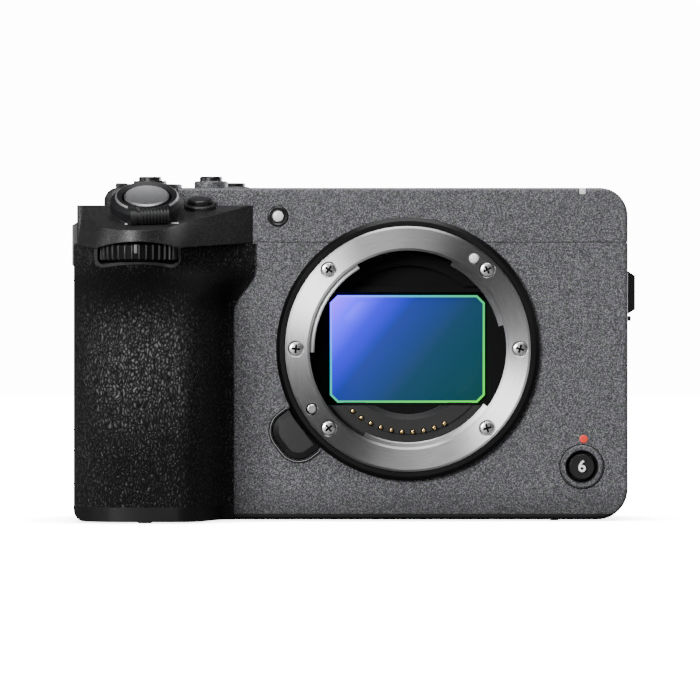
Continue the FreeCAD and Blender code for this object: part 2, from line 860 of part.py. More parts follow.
def make_front_cover(shell):
    zone = box(cover_left_x, front_y - 1, base_top_z + seam / 2, right_x + 1, split_y - seam,
               top_split_z - seam / 2)
    cover = shell.common(zone)
    left_wall = box(cover_left_x, front_y + 0.02, base_top_z + seam / 2, cover_left_x + wall, front_y + 6,
                    top_split_z - seam / 2)
    cover = joined([cover, left_wall])
    bezel = release_shape(release_rim_w, front_y - release_rim_show, front_y + 0.5)
    bezel = bezel.cut(rod(surround_r + seam, (0, -far, axis_z), (0, front_y, axis_z)))
    x, z = front_record_x, front_record_z
    ring = rod(front_record_ring_r, (x, front_y + 0.3, z), (x, front_y - 0.45, z))
    ring = ring.makeChamfer(0.35, edges_at(ring, lambda b: b.YMax < front_y - 0.44))
    deep = rod(front_record_recess_r + 1.2, (x, front_y + 0.1, z), (x, front_y + 5.5, z))
    slot_back_y = front_y + release_body + release_travel + 0.5
    pocket = release_shape(1.6, front_y + 0.1, slot_back_y + 1.4)
    cover = joined([cover, bezel, ring, deep, pocket])
    well = button_well(front_record_r, front_record_show, button_travel)
    well = placed(well, (x, front_y - 0.3, z), (0, -1, 0))
    cover = cover.cut([
        rod(mount_tube_r + 0.2, (0, front_y - 5, axis_z), (0, front_y + 8, axis_z)),
        release_shape(0.0, front_y - 3, slot_back_y),
        rod(front_record_recess_r, (x, front_y - 3, z), (x, front_y + 1.0, z)),
        well,
        lug_scoop(strap_lugs[0]),
    ])
    side, y, z = side_sockets[0]
    return cover.cut([rod(insert_r, (right_x - 9, y, z), (right_x + 1, y, z))])


def make_top_cover(shell):
    zone = box(plateau_right_x + seam, front_y - 1, top_split_z + seam / 2, right_x + 1, back_y + 1,
               top_z + 1)
    cover = shell.common(zone)
    left_wall = box(plateau_right_x + seam, front_y + 0.02, top_split_z + seam / 2,
                    plateau_right_x + seam + wall, back_y - 0.02, top_z - 1)
    shoe_box = box(-shoe_x - 1.5, shoe_front_y - 1.5, top_z - shoe_depth_z - 1.2, shoe_x + 1.5, back_y - 1,
                   top_z - 1)
    posts = []
    wells = []
    for name, top, collar_radius, collar_z in top_controls()[1:]:
        collar = rod(collar_radius, (top[0], top[1], top_z - 4.5), (top[0], top[1], collar_z))
        rim = edges_at(collar, lambda b: b.ZMin > collar_z - 0.01)
        posts.append(collar.makeChamfer(0.3, rim))
        wells.append(placed(button_well(button_r, top[2] - collar_z + 0.1, button_travel), top, (0, 0, 1)))
    holes = []
    for x, y in top_sockets:
        posts.append(rod(insert_r + 1.4, (x, y, top_z - socket_depth - insert_floor), (x, y, top_z - 1)))
        holes.append(rod(insert_r, (x, y, top_z - socket_depth - insert_floor), (x, y, top_z + 1)))
    shoe_cut = box(-shoe_x, shoe_front_y, top_z - shoe_depth_z, shoe_x, back_y + 1, top_z + 1)
    x, z = light_window_at
    window = rod(light_window_r, (x, front_y - 1, z), (x, front_y + wall + 1, z))
    x, z = tally_at
    tally = box(x - tally_w / 2, front_y - 1, z - 0.85, x + tally_w / 2, front_y + 1.6, top_z + 1)
    cover = joined([cover, left_wall, shoe_box] + posts)
    mount_hole = rod(mount_tube_r + 0.2, (0, front_y - 5, axis_z), (0, front_y + 8, axis_z))
    return cover.cut([shoe_cut, window, tally, mount_hole] + holes + wells)


def battery_door_room():
    return box(door_left_x - fit_gap, door_front_y - fit_gap, -1, door_hinge_x + door_hinge_r + 0.5,
               door_back_y + fit_gap, door_top_z + fit_gap)


def rear_wells():
    wells = [battery_door_room()]
    for name, x, z in rear_buttons:
        well = button_well(rear_button_r, rear_button_show, button_travel)
        wells.append(placed(well, (x, back_y + rear_button_show, z), (0, 1, 0)))
    wells.append(placed(turned([(0, 3), (wheel_r + slide_gap, 3), (wheel_r + slide_gap, -1.6),
                                (centre_skirt_r + 0.5, -1.6), (centre_skirt_r + 0.5, -4.2), (0, -4.2)]),
                        (wheel_x, back_y, wheel_z), (0, 1, 0)))
    floor_y = back_y - stick_well_depth
    wells.append(rod(stick_well_r, (stick_x, floor_y, stick_z), (stick_x, back_y + 1, stick_z)))
    pivot_y = back_y - stick_pivot_depth
    left = stick_x - stick_well_r - 0.8
    right = stick_x + stick_well_r + 0.8
    wells.append(rod(trunnion_r + 0.1, (left, pivot_y, stick_z), (right, pivot_y, stick_z)))
    return wells


def make_rear_cover(shell):
    zone = box(left_x - 1, split_y, base_top_z + seam / 2, right_x + 1, back_y + 1, top_split_z - seam / 2)
    cover = shell.common(zone)
    thick = [box(left_x + 1, back_y - 3.2, base_top_z + base_step + 0.3, panel_left_x, back_y - 1,
                 top_split_z - 1.0)]
    for name, x, z in rear_buttons:
        thick.append(rod(rear_button_r + 1.4, (x, back_y - 6.2, z), (x, back_y - 1, z)))
    thick.append(rod(wheel_r + 1.6, (wheel_x, back_y - 6.0, wheel_z), (wheel_x, back_y - 1, wheel_z)))
    thick.append(rod(stick_well_r + 1.3, (stick_x, back_y - 5.8, stick_z), (stick_x, back_y - 1, stick_z)))
    thumb = rounded_prism(-76.4, 38.0, -66.0, 62.0, (3, 3, 3, 3), back_y - 1, back_y + 1.6)
    thumb = thumb.makeFillet(1.2, edges_at(thumb, lambda b: b.YMin > back_y + 1.59))
    cover = joined([cover] + thick + [thumb])
    cuts = rear_wells() + [left_lug_scoop()]
    count, first, pitch, width = rear_vents
    for index in range(count):
        z = first + index * pitch
        cuts.append(box(-20.0, back_y - 3, z, 36.0, back_y + 1, z + width))
    count, first, pitch, width = side_vents
    for index in range(count):
        y = first + index * pitch
        cuts.append(box(right_x - wall - 1, y, top_split_z - 5.8, right_x + 1, y + width, top_split_z - 1.8))
    cuts.append(box(left_x - 1, card_door_front_y, card_door_bottom_z, left_x + card_door_t + fit_gap,
                    card_door_hinge_y + card_door_hinge_r + 0.4, card_door_top_z))
    cuts.append(box(left_x - 1, card_door_front_y + 1.5, card_door_bottom_z + 1.5, left_x + 6,
                    card_door_hinge_y - 2.0, card_door_top_z - 1.5))
    for name, low, high in port_covers:
        cuts.append(box(right_x - port_cover_t - fit_gap, port_hinge_y - port_hinge_r - 0.4, low,
                        right_x + 1, port_back_y, high))
        cuts.append(box(right_x - 6, port_front_y + 1.2, low + 1.4, right_x + 1, port_back_y - 1.4,
                        high - 1.4))
    side, y, z = side_sockets[1]
    cuts.append(rod(insert_r, (left_x - 1, y, z), (left_x + 9, y, z)))
    return cover.cut(cuts)


def pad_solids():
    return [rod(r, (x, y, base_z - pad_show), (x, y, base_z + 0.4)) for x, y, r in pads]


def make_base_plate(block):
    low = box(left_x - 1, front_y - 1, base_z - 1, right_x + 1, back_y + 1, base_top_z)
    plate = block.common(low)
    inner = box(cover_left_x + wall + slide_gap, front_y + wall + slide_gap, base_top_z - 0.1,
                right_x - base_corner_r, back_y - wall - slide_gap, base_top_z + base_step)
    under = grip_foot()
    plate = joined([plate, inner, under])
    x0, y0, z0, x1, y1, z1 = battery_box
    g = battery_gap
    cuts = [
        box(x0 - g, y0 - g, -1, x1 + g, y1 + g, 10),
        battery_door_room(),
        rod(tripod_insert_r, (0, 0, -1), (0, 0, 10)),
    ]
    for x, y in base_screws:
        cuts.append(rod(base_screw_r + 0.2, (x, y, -1), (x, y, base_z + base_screw_t)))
        cuts.append(rod(1.0, (x, y, -1), (x, y, 5)))
    count, first, pitch, width = base_vents
    for index in range(count):
        x = first + index * pitch
        cuts.append(box(x, -6.0, -1, x + width, 12.0, 5))
    return joined([plate.cut(cuts)] + pad_solids())


def grip_foot():
    # the black foot under the leather: the lowest grip outline with its outer corner rounded
    row = grip_row(grip_stations[0][0], 0.0)
    row = [V(p.x, p.y, base_z) for p in row]
    curve = Part.BSplineCurve()
    curve.interpolate(row)
    rear_left = V(row[0].x, split_y - seam, base_z)
    rear_right = V(row[-1].x, split_y - seam, base_z)
    outline = Part.Wire([
        Part.makeLine(rear_left, row[0]), curve.toShape(),
        Part.makeLine(row[-1], rear_right), Part.makeLine(rear_right, rear_left)])
    foot = Part.Face(outline).extrude(V(0, 0, grip_bottom_z - base_z))
    round_tool = rounded_prism(grip_left_x, base_z, 0, 30.0, (foot_corner_r, 1, 1, 1), -60, 30)
    low_front = box(grip_core_right_x, front_y - 0.01, -1, 0, split_y + 5, 80)
    return foot.common(round_tool).cut(low_front)


def make_chassis():
    tube = mount_ring(mount_tube_r, chamber_r, ring_back_y, chassis_plate_y + chassis_plate_t)
    plate = box(-40.0, chassis_plate_y, 5.0, 44.5, chassis_plate_y + chassis_plate_t,
                carriage_top_z + slide_gap + rail_t)
    plate = plate.cut(rod(chamber_r, (0, -30, axis_z), (0, 0, axis_z)))
    back_of_plate = chassis_plate_y + chassis_plate_t
    parts = [tube, plate]
    for x in (board_left_x + 3.0, board_right_x - 3.0):
        for z in (board_bottom_z + 3.0, board_top_z - 3.0):
            parts.append(rod(2.2, (x, back_of_plate - 0.5, z), (x, board_y, z)))
    rail_w = 20.0
    parts.append(box(-rail_w, back_of_plate - 0.5, carriage_top_z + slide_gap, rail_w, carriage_back_y + 1.0,
                     carriage_top_z + slide_gap + rail_t))
    parts.append(box(-rail_w, back_of_plate - 0.5, carriage_bottom_z - slide_gap - rail_t, rail_w,
                     carriage_back_y + 1.0, carriage_bottom_z - slide_gap))
    foot_bottom = base_top_z + base_step
    parts.append(box(-12.0, chassis_plate_y, foot_bottom, 12.0, 9.0 - 1.2, 9.5))
    chassis = joined(parts)
    cuts = [rod(tripod_insert_r, (0, 0, 0), (0, 0, socket_depth + insert_floor))]
    for angle in mount_screw_angles:
        x, z = polar(mount_screw_ring_r, angle)
        cuts.append(rod(0.8, (x, ring_back_y - 1, z), (x, ring_back_y + 6, z)))
    x, z = polar(lock_pin_ring_r, lock_pin_angle)
    cuts.append(rod(lock_pin_r + fit_gap, (x, ring_back_y - 1, z), (x, ring_back_y + 7, z)))
    cuts.append(release_shape(0.8 + fit_gap, front_y - 1, front_y + 5.8))
    return chassis.cut(cuts)


def make_surround():
    outer = surround_r
    inner = ring_r + 0.15
    depth = front_y - surround_y
    profile = [(inner, 0), (outer, 0), (outer, 1.3), (outer - 0.9, depth), (inner, depth)]
    ring = facing_front(turned(profile), front_y)
    foot = mount_ring(inner + 0.6, mount_tube_r + 0.15, ring_back_y, front_y)
    return joined([ring, foot])


def make_bayonet_ring():
    edge = throat_edge
    depth = ring_back_y - flange_y
    lip_back = depth - lip_depth
    profile = [
        (throat_r, depth - edge), (throat_r + edge, depth), (ring_r - 0.5, depth), (ring_r, depth - 0.5),
        (ring_r, 0.0), (chamber_r - 1.0, 0.0), (chamber_r - 1.0, lip_back), (throat_r, lip_back)]
    ring = facing_front(turned(profile), ring_back_y)
    hub = mount_ring(chamber_r - 0.1, chamber_r - 1.1, ring_back_y - 0.3, tab_back_y)
    tabs = [mount_sector(tab_r, chamber_r - 1.0, a, b, tab_front_y, tab_back_y) for a, b in tab_arcs]
    ring = joined([ring, hub] + tabs)
    cuts = []
    for angle in mount_screw_angles:
        x, z = polar(mount_screw_ring_r, angle)
        cuts.append(rod(mount_screw_hole_r, (x, flange_y - 1, z), (x, flange_y + 1.1, z)))
        cuts.append(rod(1.0, (x, flange_y - 1, z), (x, ring_back_y + 1, z)))
    x, z = polar(lock_pin_ring_r, lock_pin_angle)
    cuts.append(rod(lock_pin_r + fit_gap, (x, flange_y - 1, z), (x, ring_back_y + 1, z)))
    x, z = polar(index_ring_r, index_angle)
    cuts.append(rod(index_r, (x, flange_y - 1, z), (x, ring_back_y + 0.5, z)))
    return ring.cut(cuts)


def make_mount_screws():
    head_y = flange_y + 0.25
    seat_y = flange_y + 1.1
    screws = []
    for angle in mount_screw_angles:
        x, z = polar(mount_screw_ring_r, angle)
        head = rod(mount_screw_r, (x, seat_y, z), (x, head_y, z))
        head = head.makeFillet(0.25, edges_at(head, lambda b: b.YMax < head_y + 0.01))
        cross = [box(x - 0.85, head_y - 1, z - 0.17, x + 0.85, head_y + 0.45, z + 0.17),
                 box(x - 0.17, head_y - 1, z - 0.85, x + 0.17, head_y + 0.45, z + 0.85)]
        shank = rod(0.8, (x, seat_y - 0.1, z), (x, ring_back_y + 5.5, z))
        screws.append(head.cut(cross).fuse(shank))
    return Part.makeCompound(screws)


def make_contact_block():
    # a turned ring with a sloped band inside, cut to its arc and level at its ends
    inner = contact_ring_r - contact_half_w
    outer = contact_ring_r + contact_half_w
    step_r = contact_ring_r + 0.5
    wall_r = chamber_r - 0.15
    back = contact_back_y + 0.2
    height = back - contact_front_y
    ring = facing_front(turned([
        (inner - contact_band, 0), (inner - contact_band, height - contact_band), (inner, height),
        (step_r, height), (step_r, height - 0.4), (outer, height - 0.4), (outer, height - 1.6),
        (wall_r, height - 1.6), (wall_r, 0)]), back)
    first, last = contact_arc
    block = ring.common(mount_sector(1.0, far, first, last, contact_front_y - 1, back + 1))
    block = block.common(box(-far, -far, -far, far, far, contact_top_z))
    cuts = []
    for index in range(contact_count):
        x, z = polar(contact_ring_r, contact_first + contact_pitch * index)
        cuts.append(rod(contact_pin_r + 0.15, (x, -30, z), (x, 0, z)))
    return block.cut(cuts)


def make_contact_pins():
    pins = []
    for index in range(contact_count):
        x, z = polar(contact_ring_r, contact_first + contact_pitch * index)
        pin = rod(contact_pin_r, (x, contact_back_y - 0.2, z), (x, contact_front_y - 0.9, z))
        pins.append(pin.makeFillet(0.25, edges_at(pin, lambda b: b.YMax < contact_front_y - 0.89)))
    return Part.makeCompound(pins)


def make_lock_pin():
    x, z = polar(lock_pin_ring_r, lock_pin_angle)
    front = flange_y - lock_pin_show
    pin = rod(lock_pin_r, (x, ring_back_y + 5.0, z), (x, front, z))
    return pin.makeFillet(0.3, edges_at(pin, lambda b: b.YMax < front + 0.01))


def make_release_button():
    # straight sides in the slot, a wide bevel round the face, an arc beside the surround
    bevel_y = front_y - release_show + release_bevel_d
    button = release_shape(-fit_gap, bevel_y, front_y + release_body)
    bevel = Part.makeLoft([release_wire(-fit_gap, 0.0),
                           release_wire(-fit_gap - release_bevel_w, release_bevel_d)], True, True)
    button = joined([button, release_placed(bevel, bevel_y)])
    return button.cut(rod(surround_r + 0.45, (0, -far, axis_z), (0, 0, axis_z)))


def make_shutter_frame():
    half_w = shutter_frame_w / 2
    frame = rounded_prism(-half_w, shutter_bottom_z, half_w, shutter_top_z, (2, 2, 2, 2), shutter_front_y,
                          shutter_back_y)
    window = box(-window_w / 2, -30, axis_z - window_h / 2, window_w / 2, 0, axis_z + window_h / 2)
    room_front = blade_first_y - 0.3
    room_back = blade_first_y + 2 * blade_pitch_y + blade_t + 0.3
    room = box(-blade_w / 2 - 0.3, room_front, shutter_bottom_z + 1.2, blade_w / 2 + 0.3, room_back,
               shutter_top_z - 2.0)
    frame = frame.cut([window, room])
    # brackets below the window, the light bar and the arched baffle above it
    front = shutter_front_y - 1.2
    extras = [box(-bar_w / 2, front, bar_low_z, bar_w / 2, shutter_front_y + 0.3, bar_high_z)]
    for x0, x1 in bracket_xs:
        corners = [V(x0, front, bracket_low_z), V(x1, front, bracket_low_z),
                   V(x1 - 0.8, front, bracket_high_z), V(x0 + 0.8, front, bracket_high_z)]
        extras.append(Part.Face(Part.makePolygon(corners + [corners[0]])).extrude(V(0, 1.5, 0)))
    arch = mount_ring(baffle_r + baffle_w, baffle_r, shutter_front_y - 2.2, shutter_front_y + 0.2)
    arch = arch.common(box(-far, -far, bar_high_z, far, 0, far))
    return joined([frame, arch] + extras)


def make_blade(index):
    y = blade_first_y + blade_pitch_y * index
    low = shutter_bottom_z + 1.6
    return box(-blade_w / 2, y, low, blade_w / 2, y + blade_t, low + blade_h)


def make_sensor_glass():
    glass = rounded_prism(-sensor_w / 2, axis_z - sensor_h / 2, sensor_w / 2, axis_z + sensor_h / 2,
                          (0.6, 0.6, 0.6, 0.6), sensor_front_y, sensor_front_y + sensor_t)
    return glass.makeChamfer(0.5, edges_at(glass, lambda b: b.YMax < sensor_front_y + 0.01))


def make_sensor_holder():
    front = sensor_front_y + sensor_t
    plate = rounded_prism(-holder_w / 2, axis_z - holder_h / 2, holder_w / 2, axis_z + holder_h / 2,
                          (2, 2, 2, 2), front, holder_back_y)
    return plate


def make_carriage():
    plate = rounded_prism(-carriage_w / 2, carriage_bottom_z, carriage_w / 2, carriage_top_z, (3, 3, 3, 3),
                          carriage_front_y, carriage_back_y)
    holes = [rod(4.0, (x, -5, z), (x, 5, z)) for x in (-15.0, 15.0) for z in (28.0, 50.0)]
    return plate.cut(holes)


def make_main_board():
    board = box(board_left_x, board_y, board_bottom_z, board_right_x, board_y + board_t, board_top_z)
    chips = [box(-16.0, board_y - 1.2, 40.0, -4.0, board_y + 0.1, 52.0),
             box(6.0, board_y - 1.2, 42.0, 15.0, board_y + 0.1, 51.0),
             box(-20.0, board_y - 1.0, 20.0, -12.0, board_y + 0.1, 30.0)]
    board = joined([board] + chips)
    x0 = card_left_x + 1.0
    cage = box(x0, card_ys[0] - 1.2, card_bottom_z - 1.5, card_left_x + card_l + 2.0,
               card_ys[1] + card_t + 1.2, card_bottom_z + card_w + 1.5)
    slots = []
    for y in card_ys:
        slots.append(box(x0 - 3, y - slide_gap, card_bottom_z - slide_gap, card_left_x + card_l + slide_gap,
                         y + card_t + slide_gap, card_bottom_z + card_w + slide_gap))
    cage = cage.cut(slots)
    link = box(card_left_x + card_l + 1.0, board_y + 0.2, 24.0, board_left_x + 1, board_y + board_t, 40.0)
    return joined([board, cage, link])


def make_memory_cards():
    cards = []
    for y in card_ys:
        card = box(card_left_x, y, card_bottom_z, card_left_x + card_l, y + card_t, card_bottom_z + card_w)
        notch = box(card_left_x + card_l - 2.4, y - 1, card_bottom_z - 1, card_left_x + card_l + 1, y + 4,
                    card_bottom_z + 2.4)
        cards.append(card.cut(notch))
    return Part.makeCompound(cards)


def make_heat_sink():
    y0 = board_y + board_t
    plate = box(-30.0, y0, 12.0, board_right_x - 0.5, y0 + sink_t, 58.0)
    fins = []
    for index in range(fin_count):
        z = 13.0 + index * (45.0 - 1.0) / (fin_count - 1)
        fins.append(box(-30.0, y0 + sink_t - 0.1, z, fan_x - fan_r - 3.0, y0 + sink_t + fin_depth, z + 1.0))
    shell_front = y0 + sink_t - 0.1
    housing = rod(fan_r + 2.0, (fan_x, shell_front, fan_z), (fan_x, fan_back_y + 1.0, fan_z)).cut(
        rod(fan_r + 0.7, (fan_x, shell_front + 1.6, fan_z), (fan_x, 40, fan_z)))
    mouth = box(fan_x, shell_front + 2.0, fan_z - 7.0, fan_x + fan_r + 5, 40, fan_z + 7.0)
    pin = rod(fan_pin_r, (fan_x, y0, fan_z), (fan_x, fan_back_y - 1.0, fan_z))
    return joined([plate, housing.cut(mouth), pin] + fins)


def make_fan():
    hub = rod(fan_hub_r, (0, fan_front_y, 0), (0, fan_back_y, 0)).cut(
        rod(fan_pin_r + 0.12, (0, fan_front_y - 1, 0), (0, fan_back_y - 0.8, 0)))
    blades = []
    for index in range(fan_blades):
        blade = box(fan_hub_r - 0.6, fan_front_y + 0.6, -0.45, fan_r - 0.1, fan_back_y - 0.6, 0.45)
        blade.rotate(V(fan_hub_r, 0, 0), V(0, 1, 0), 28)
        blade = blade.common(rod(fan_r, (0, 0, 0), (0, 40, 0)))
        blade.rotate(V(0, 0, 0), V(0, 1, 0), 360.0 / fan_blades * index)
        blades.append(blade)
    fan = joined([hub] + blades)
    fan.translate(V(fan_x, 0, fan_z))
    return fan


def make_port_connectors():
    back_x = board_right_x + 0.5
    face_x = right_x - 3.2
    pieces = []
    for name, low, high in port_covers:
        block = box(back_x, port_front_y + 1.5, low + 1.7, face_x, port_back_y - 1.7, high - 1.7)
        middle_y = (port_front_y + port_back_y) / 2
        middle_z = (low + high) / 2
        if name == "port_cover_middle":
            block = box(back_x, middle_y - hdmi_w / 2 - 1.5, middle_z - 4.2, face_x,
                        middle_y + hdmi_w / 2 + 1.5, middle_z + 4.2)
            socket = box(face_x - hdmi_depth, middle_y - hdmi_w / 2, middle_z - hdmi_h / 2,
                         right_x, middle_y + hdmi_w / 2, middle_z + hdmi_h / 2)
            block = block.cut(socket)
        elif name == "port_cover_upper":
            jacks = []
            for y in (middle_y - 3.4, middle_y + 3.4):
                jacks.append(rod(1.75, (right_x - 14, y, middle_z), (right_x, y, middle_z)))
                jacks.append(rod(2.6, (right_x - 3.4, y, middle_z), (right_x, y, middle_z)))
            block = block.cut(jacks)
        else:
            slots = []
            for y in (middle_y - 3.2, middle_y + 3.2):
                slot = box(right_x - 9, y - 1.3, middle_z - 4.4, right_x, y + 1.3, middle_z + 4.4)
                tongue = box(right_x - 9, y - 0.35, middle_z - 3.3, face_x - 0.4, y + 0.35, middle_z + 3.3)
                slots.append(slot.cut(tongue))
            block = block.cut(slots)
        pieces.append(block)
    spine = box(back_x, board_y + 0.3, port_covers[2][1] + 2, back_x + 3.0, board_y + 9,
                port_covers[0][2] - 2)
    return joined(pieces + [spine])


def make_port_cover(low, high):
    gap = fit_gap
    plate = box(right_x - port_cover_t, port_hinge_y, low + gap, right_x, port_back_y - gap, high - gap)
    plate = plate.makeFillet(0.4, edges_at(plate, lambda b: b.XMin > right_x - 0.01))
    plug = box(right_x - 3.0, port_front_y + 1.6, low + 1.4 + gap, right_x - port_cover_t + 0.1,
               port_back_y - 1.4 - 1.6, high - 1.4 - gap)
    plug = plug.makeFillet(0.8, edges_at(plug, lambda b: b.XLength > 0.5))
    barrel_x = right_x - port_hinge_r
    barrel = rod(port_hinge_r, (barrel_x, port_hinge_y, low + gap), (barrel_x, port_hinge_y, high - gap))
    return joined([plate, plug, barrel])


def make_accessory_shoe():
    z0 = top_z - shoe_depth_z
    gap = 0.1
    base = box(-shoe_x + gap, shoe_front_y + gap, z0, shoe_x - gap, back_y - 0.3, z0 + 0.9)
    rails = []
    for side in (-1, 1):
        wall_x = sorted((side * shoe_slot, side * (shoe_x - gap)))
        lip_x = sorted((side * shoe_lip, side * (shoe_x - gap)))
        rails.append(box(wall_x[0], shoe_front_y + gap, z0 + 0.5, wall_x[1], back_y - 0.3, top_z - 0.1))
        rails.append(box(lip_x[0], shoe_front_y + gap, z0 + 0.9 + shoe_foot_h, lip_x[1], back_y - 0.3,
                         top_z - 0.1))
    stop = box(-shoe_slot - 0.2, shoe_front_y + gap, z0 + 0.5, shoe_slot + 0.2, shoe_front_y + 1.3,
               z0 + 0.9 + shoe_foot_h)
    pads_row = []
    for index in range(8):
        x = (index - 3.5) * 1.5
        pads_row.append(box(x - 0.45, shoe_front_y + 1.8, z0 + 0.8, x + 0.45, shoe_front_y + 5.5, z0 + 1.0))
    return joined([base] + rails + [stop] + pads_row)


def make_strap_lugs():
    # bars with sloped ends that bridge the scoops in the body's sides, the right one with a nub below
    lugs = []
    for side, y0, y1, z0, z1 in strap_lugs:
        x = right_x if side > 0 else left_x
        outer = x + side * lug_reach
        points = [(x, z0), (outer, z0 + lug_bevel), (outer, z1 - lug_bevel), (x, z1)]
        corners = [V(px, y0, pz) for px, pz in points]
        lug = Part.Face(Part.makePolygon(corners + [corners[0]])).extrude(V(0, y1 - y0, 0))
        upright = edges_at(lug, lambda b: b.YLength < 0.01 and b.ZLength > z1 - z0 - 2 * lug_bevel - 0.01
                           and abs(b.XMin - outer) < 0.01)
        lug = lug.makeFillet(0.5, upright)
        if side > 0:
            nub = box(x, y0 + 0.5, z0 - 1.4, x + 1.1, y1 - 0.5, z0 - 0.2)
            foot = box(x, y0, z0 - 1.5, x + 0.3, y1, z0 + 0.1)
            lug = joined([lug, nub, foot])
        lugs.append(lug)
    return Part.makeCompound(lugs)


def socket_insert(radius, at, direction, floor=insert_floor):
    profile = [(socket_r, 0), (radius, 0), (radius, -socket_depth - floor), (0, -socket_depth - floor),
               (0, -socket_depth), (socket_r, -socket_depth)]
    return placed(turned(profile), at, direction)


def make_thread_inserts():
    inserts = [socket_insert(tripod_insert_r, (0, 0, 0), (0, 0, -1))]
    for x, y in top_sockets:
        inserts.append(socket_insert(insert_r, (x, y, top_z), (0, 0, 1)))
    for side, y, z in side_sockets:
        x = right_x if side > 0 else left_x
        inserts.append(socket_insert(insert_r, (x, y, z), (side, 0, 0)))
    return Part.makeCompound(inserts)


def make_lamp_windows():
    x, z = light_window_at
    r = light_window_r - 0.05
    ring = placed(turned([(0, -1.4), (r, -1.4), (r, 0.0), (r - 0.5, 0.25), (1.6, 0.25), (1.45, -0.5),
                          (0, -0.5)]), (x, front_y, z), (0, -1, 0))
    dome = placed(turned([(0, -0.5), (1.35, -0.5), (1.3, -0.1), (1.0, 0.25), (0.55, 0.42), (0, 0.48)]),
                  (x, front_y, z), (0, -1, 0))
    x, z = tally_at
    lamp = box(x - tally_w / 2 + 0.05, front_y + 0.05, z - 0.8, x + tally_w / 2 - 0.05, front_y + 1.6,
               top_z - 0.05)
    lamp = lamp.makeFillet(0.5, edges_at(lamp, lambda b: b.YMax < front_y + 0.06 and b.ZMin > top_z - 0.06))
    x, z = polar(index_ring_r, index_angle)
    dot = placed(turned([(0, -1.5), (index_r - 0.05, -1.5), (index_r - 0.05, 0.1), (index_r - 0.3, 0.35),
                         (0, 0.5)]), (x, flange_y, z), (0, -1, 0))
    return Part.makeCompound([ring, dome, lamp, dot])


def make_case_screws():
    screws = []
    for x, y in base_screws:
        head = rod(base_screw_r, (x, y, base_z + 0.15), (x, y, base_z + base_screw_t))
        cross = [box(x - 1.0, y - 0.2, base_z, x + 1.0, y + 0.2, base_z + 0.55),
                 box(x - 0.2, y - 1.0, base_z, x + 0.2, y + 1.0, base_z + 0.55)]
        shank = rod(0.9, (x, y, base_z + 0.8), (x, y, base_top_z + base_step))
        screws.append(head.cut(cross).fuse(shank))
    return Part.makeCompound(screws)


def make_power_switch():
    h0 = top_z + 0.15
    inner = switch_collar_r + fit_gap
    ring = turned([(inner, h0), (switch_ring_r, h0), (switch_ring_r, switch_ring_z - 0.3),
                   (switch_ring_r - 0.3, switch_ring_z), (inner, switch_ring_z)])
    knob = box(-switch_ring_r - 0.6, -1.6, h0, -switch_ring_r + 2.2, 1.6, switch_ring_z + 0.3)
    knob = knob.makeFillet(0.4, edges_at(knob, lambda b: b.ZMin > switch_ring_z + 0.29))
    ring = joined([ring, knob])
    ring.translate(V(switch_x, switch_y, 0))
    return ring


def make_monitor_hinge():
    barrel = rod(hinge_r, (hinge_x, hinge_y, hinge_bottom_z), (hinge_x, hinge_y, hinge_top_z))
    arm = box(hinge_arm_x, hinge_y - 2.2, hinge_bottom_z + 1.0, hinge_x, hinge_y + 2.2, hinge_top_z - 1.0)
    arm = arm.makeFillet(1.0, edges_at(arm, lambda b: b.XMax < hinge_arm_x + 0.01 and b.ZLength > 1))
    middle_z = (panel_bottom_z + panel_top_z) / 2
    pin = rod(tilt_pin_r, (panel_right_x - 4.0, tilt_pin_y, middle_z),
              (hinge_arm_x + 1, tilt_pin_y, middle_z))
    return joined([barrel, arm, pin])


def make_monitor_shell():
    shell = rounded_prism(panel_left_x, panel_bottom_z, panel_right_x, panel_top_z, (panel_r,) * 4,
                          panel_front_y, panel_back_y)
    shell = shell.makeFillet(1.2, edges_at(shell, lambda b: b.YMin > panel_back_y - 0.01))
    middle_z = (panel_bottom_z + panel_top_z) / 2
    pin_room = rod(tilt_pin_r + 0.1, (panel_right_x - 4.3, tilt_pin_y, middle_z),
                   (panel_right_x + 1, tilt_pin_y, middle_z))
    middle_x = (panel_left_x + panel_right_x) / 2
    seat = box(middle_x - screen_w / 2, panel_front_y - 1, middle_z - screen_h / 2, middle_x + screen_w / 2,
               panel_front_y + screen_t, middle_z + screen_h / 2)
    return shell.cut([pin_room, seat])


def make_monitor_screen():
    middle_x = (panel_left_x + panel_right_x) / 2
    middle_z = (panel_bottom_z + panel_top_z) / 2
    g = 0.1
    return box(middle_x - screen_w / 2 + g, panel_front_y + 0.1, middle_z - screen_h / 2 + g,
               middle_x + screen_w / 2 - g, panel_front_y + screen_t, middle_z + screen_h / 2 - g)


def make_control_wheel():
    ring = turned([(wheel_inner_r, -1.3), (wheel_r, -1.3), (wheel_r, wheel_show - 0.4),
                   (wheel_r - 0.5, wheel_show), (wheel_inner_r + 0.8, wheel_show - 0.35),
                   (wheel_inner_r, wheel_show - 0.5)])
    grooves = []
    for index in range(wheel_ribs):
        cut = box(wheel_r - 1.6, -0.28, wheel_show - 0.45, wheel_r + 1, 0.28, wheel_show + 1)
        cut.rotate(V(0, 0, 0), V(0, 0, 1), 360.0 / wheel_ribs * index)
        grooves.append(cut)
    return placed(ring.cut(grooves), (wheel_x, back_y, wheel_z), (0, 1, 0))


def make_centre_button():
    return placed(turned([(0, 1.0), (centre_r - 0.4, 1.0), (centre_r, 0.7), (centre_r, -1.6),
                          (centre_skirt_r, -1.6), (centre_skirt_r, -2.4), (0, -2.4)]),
                  (wheel_x, back_y, wheel_z), (0, 1, 0))


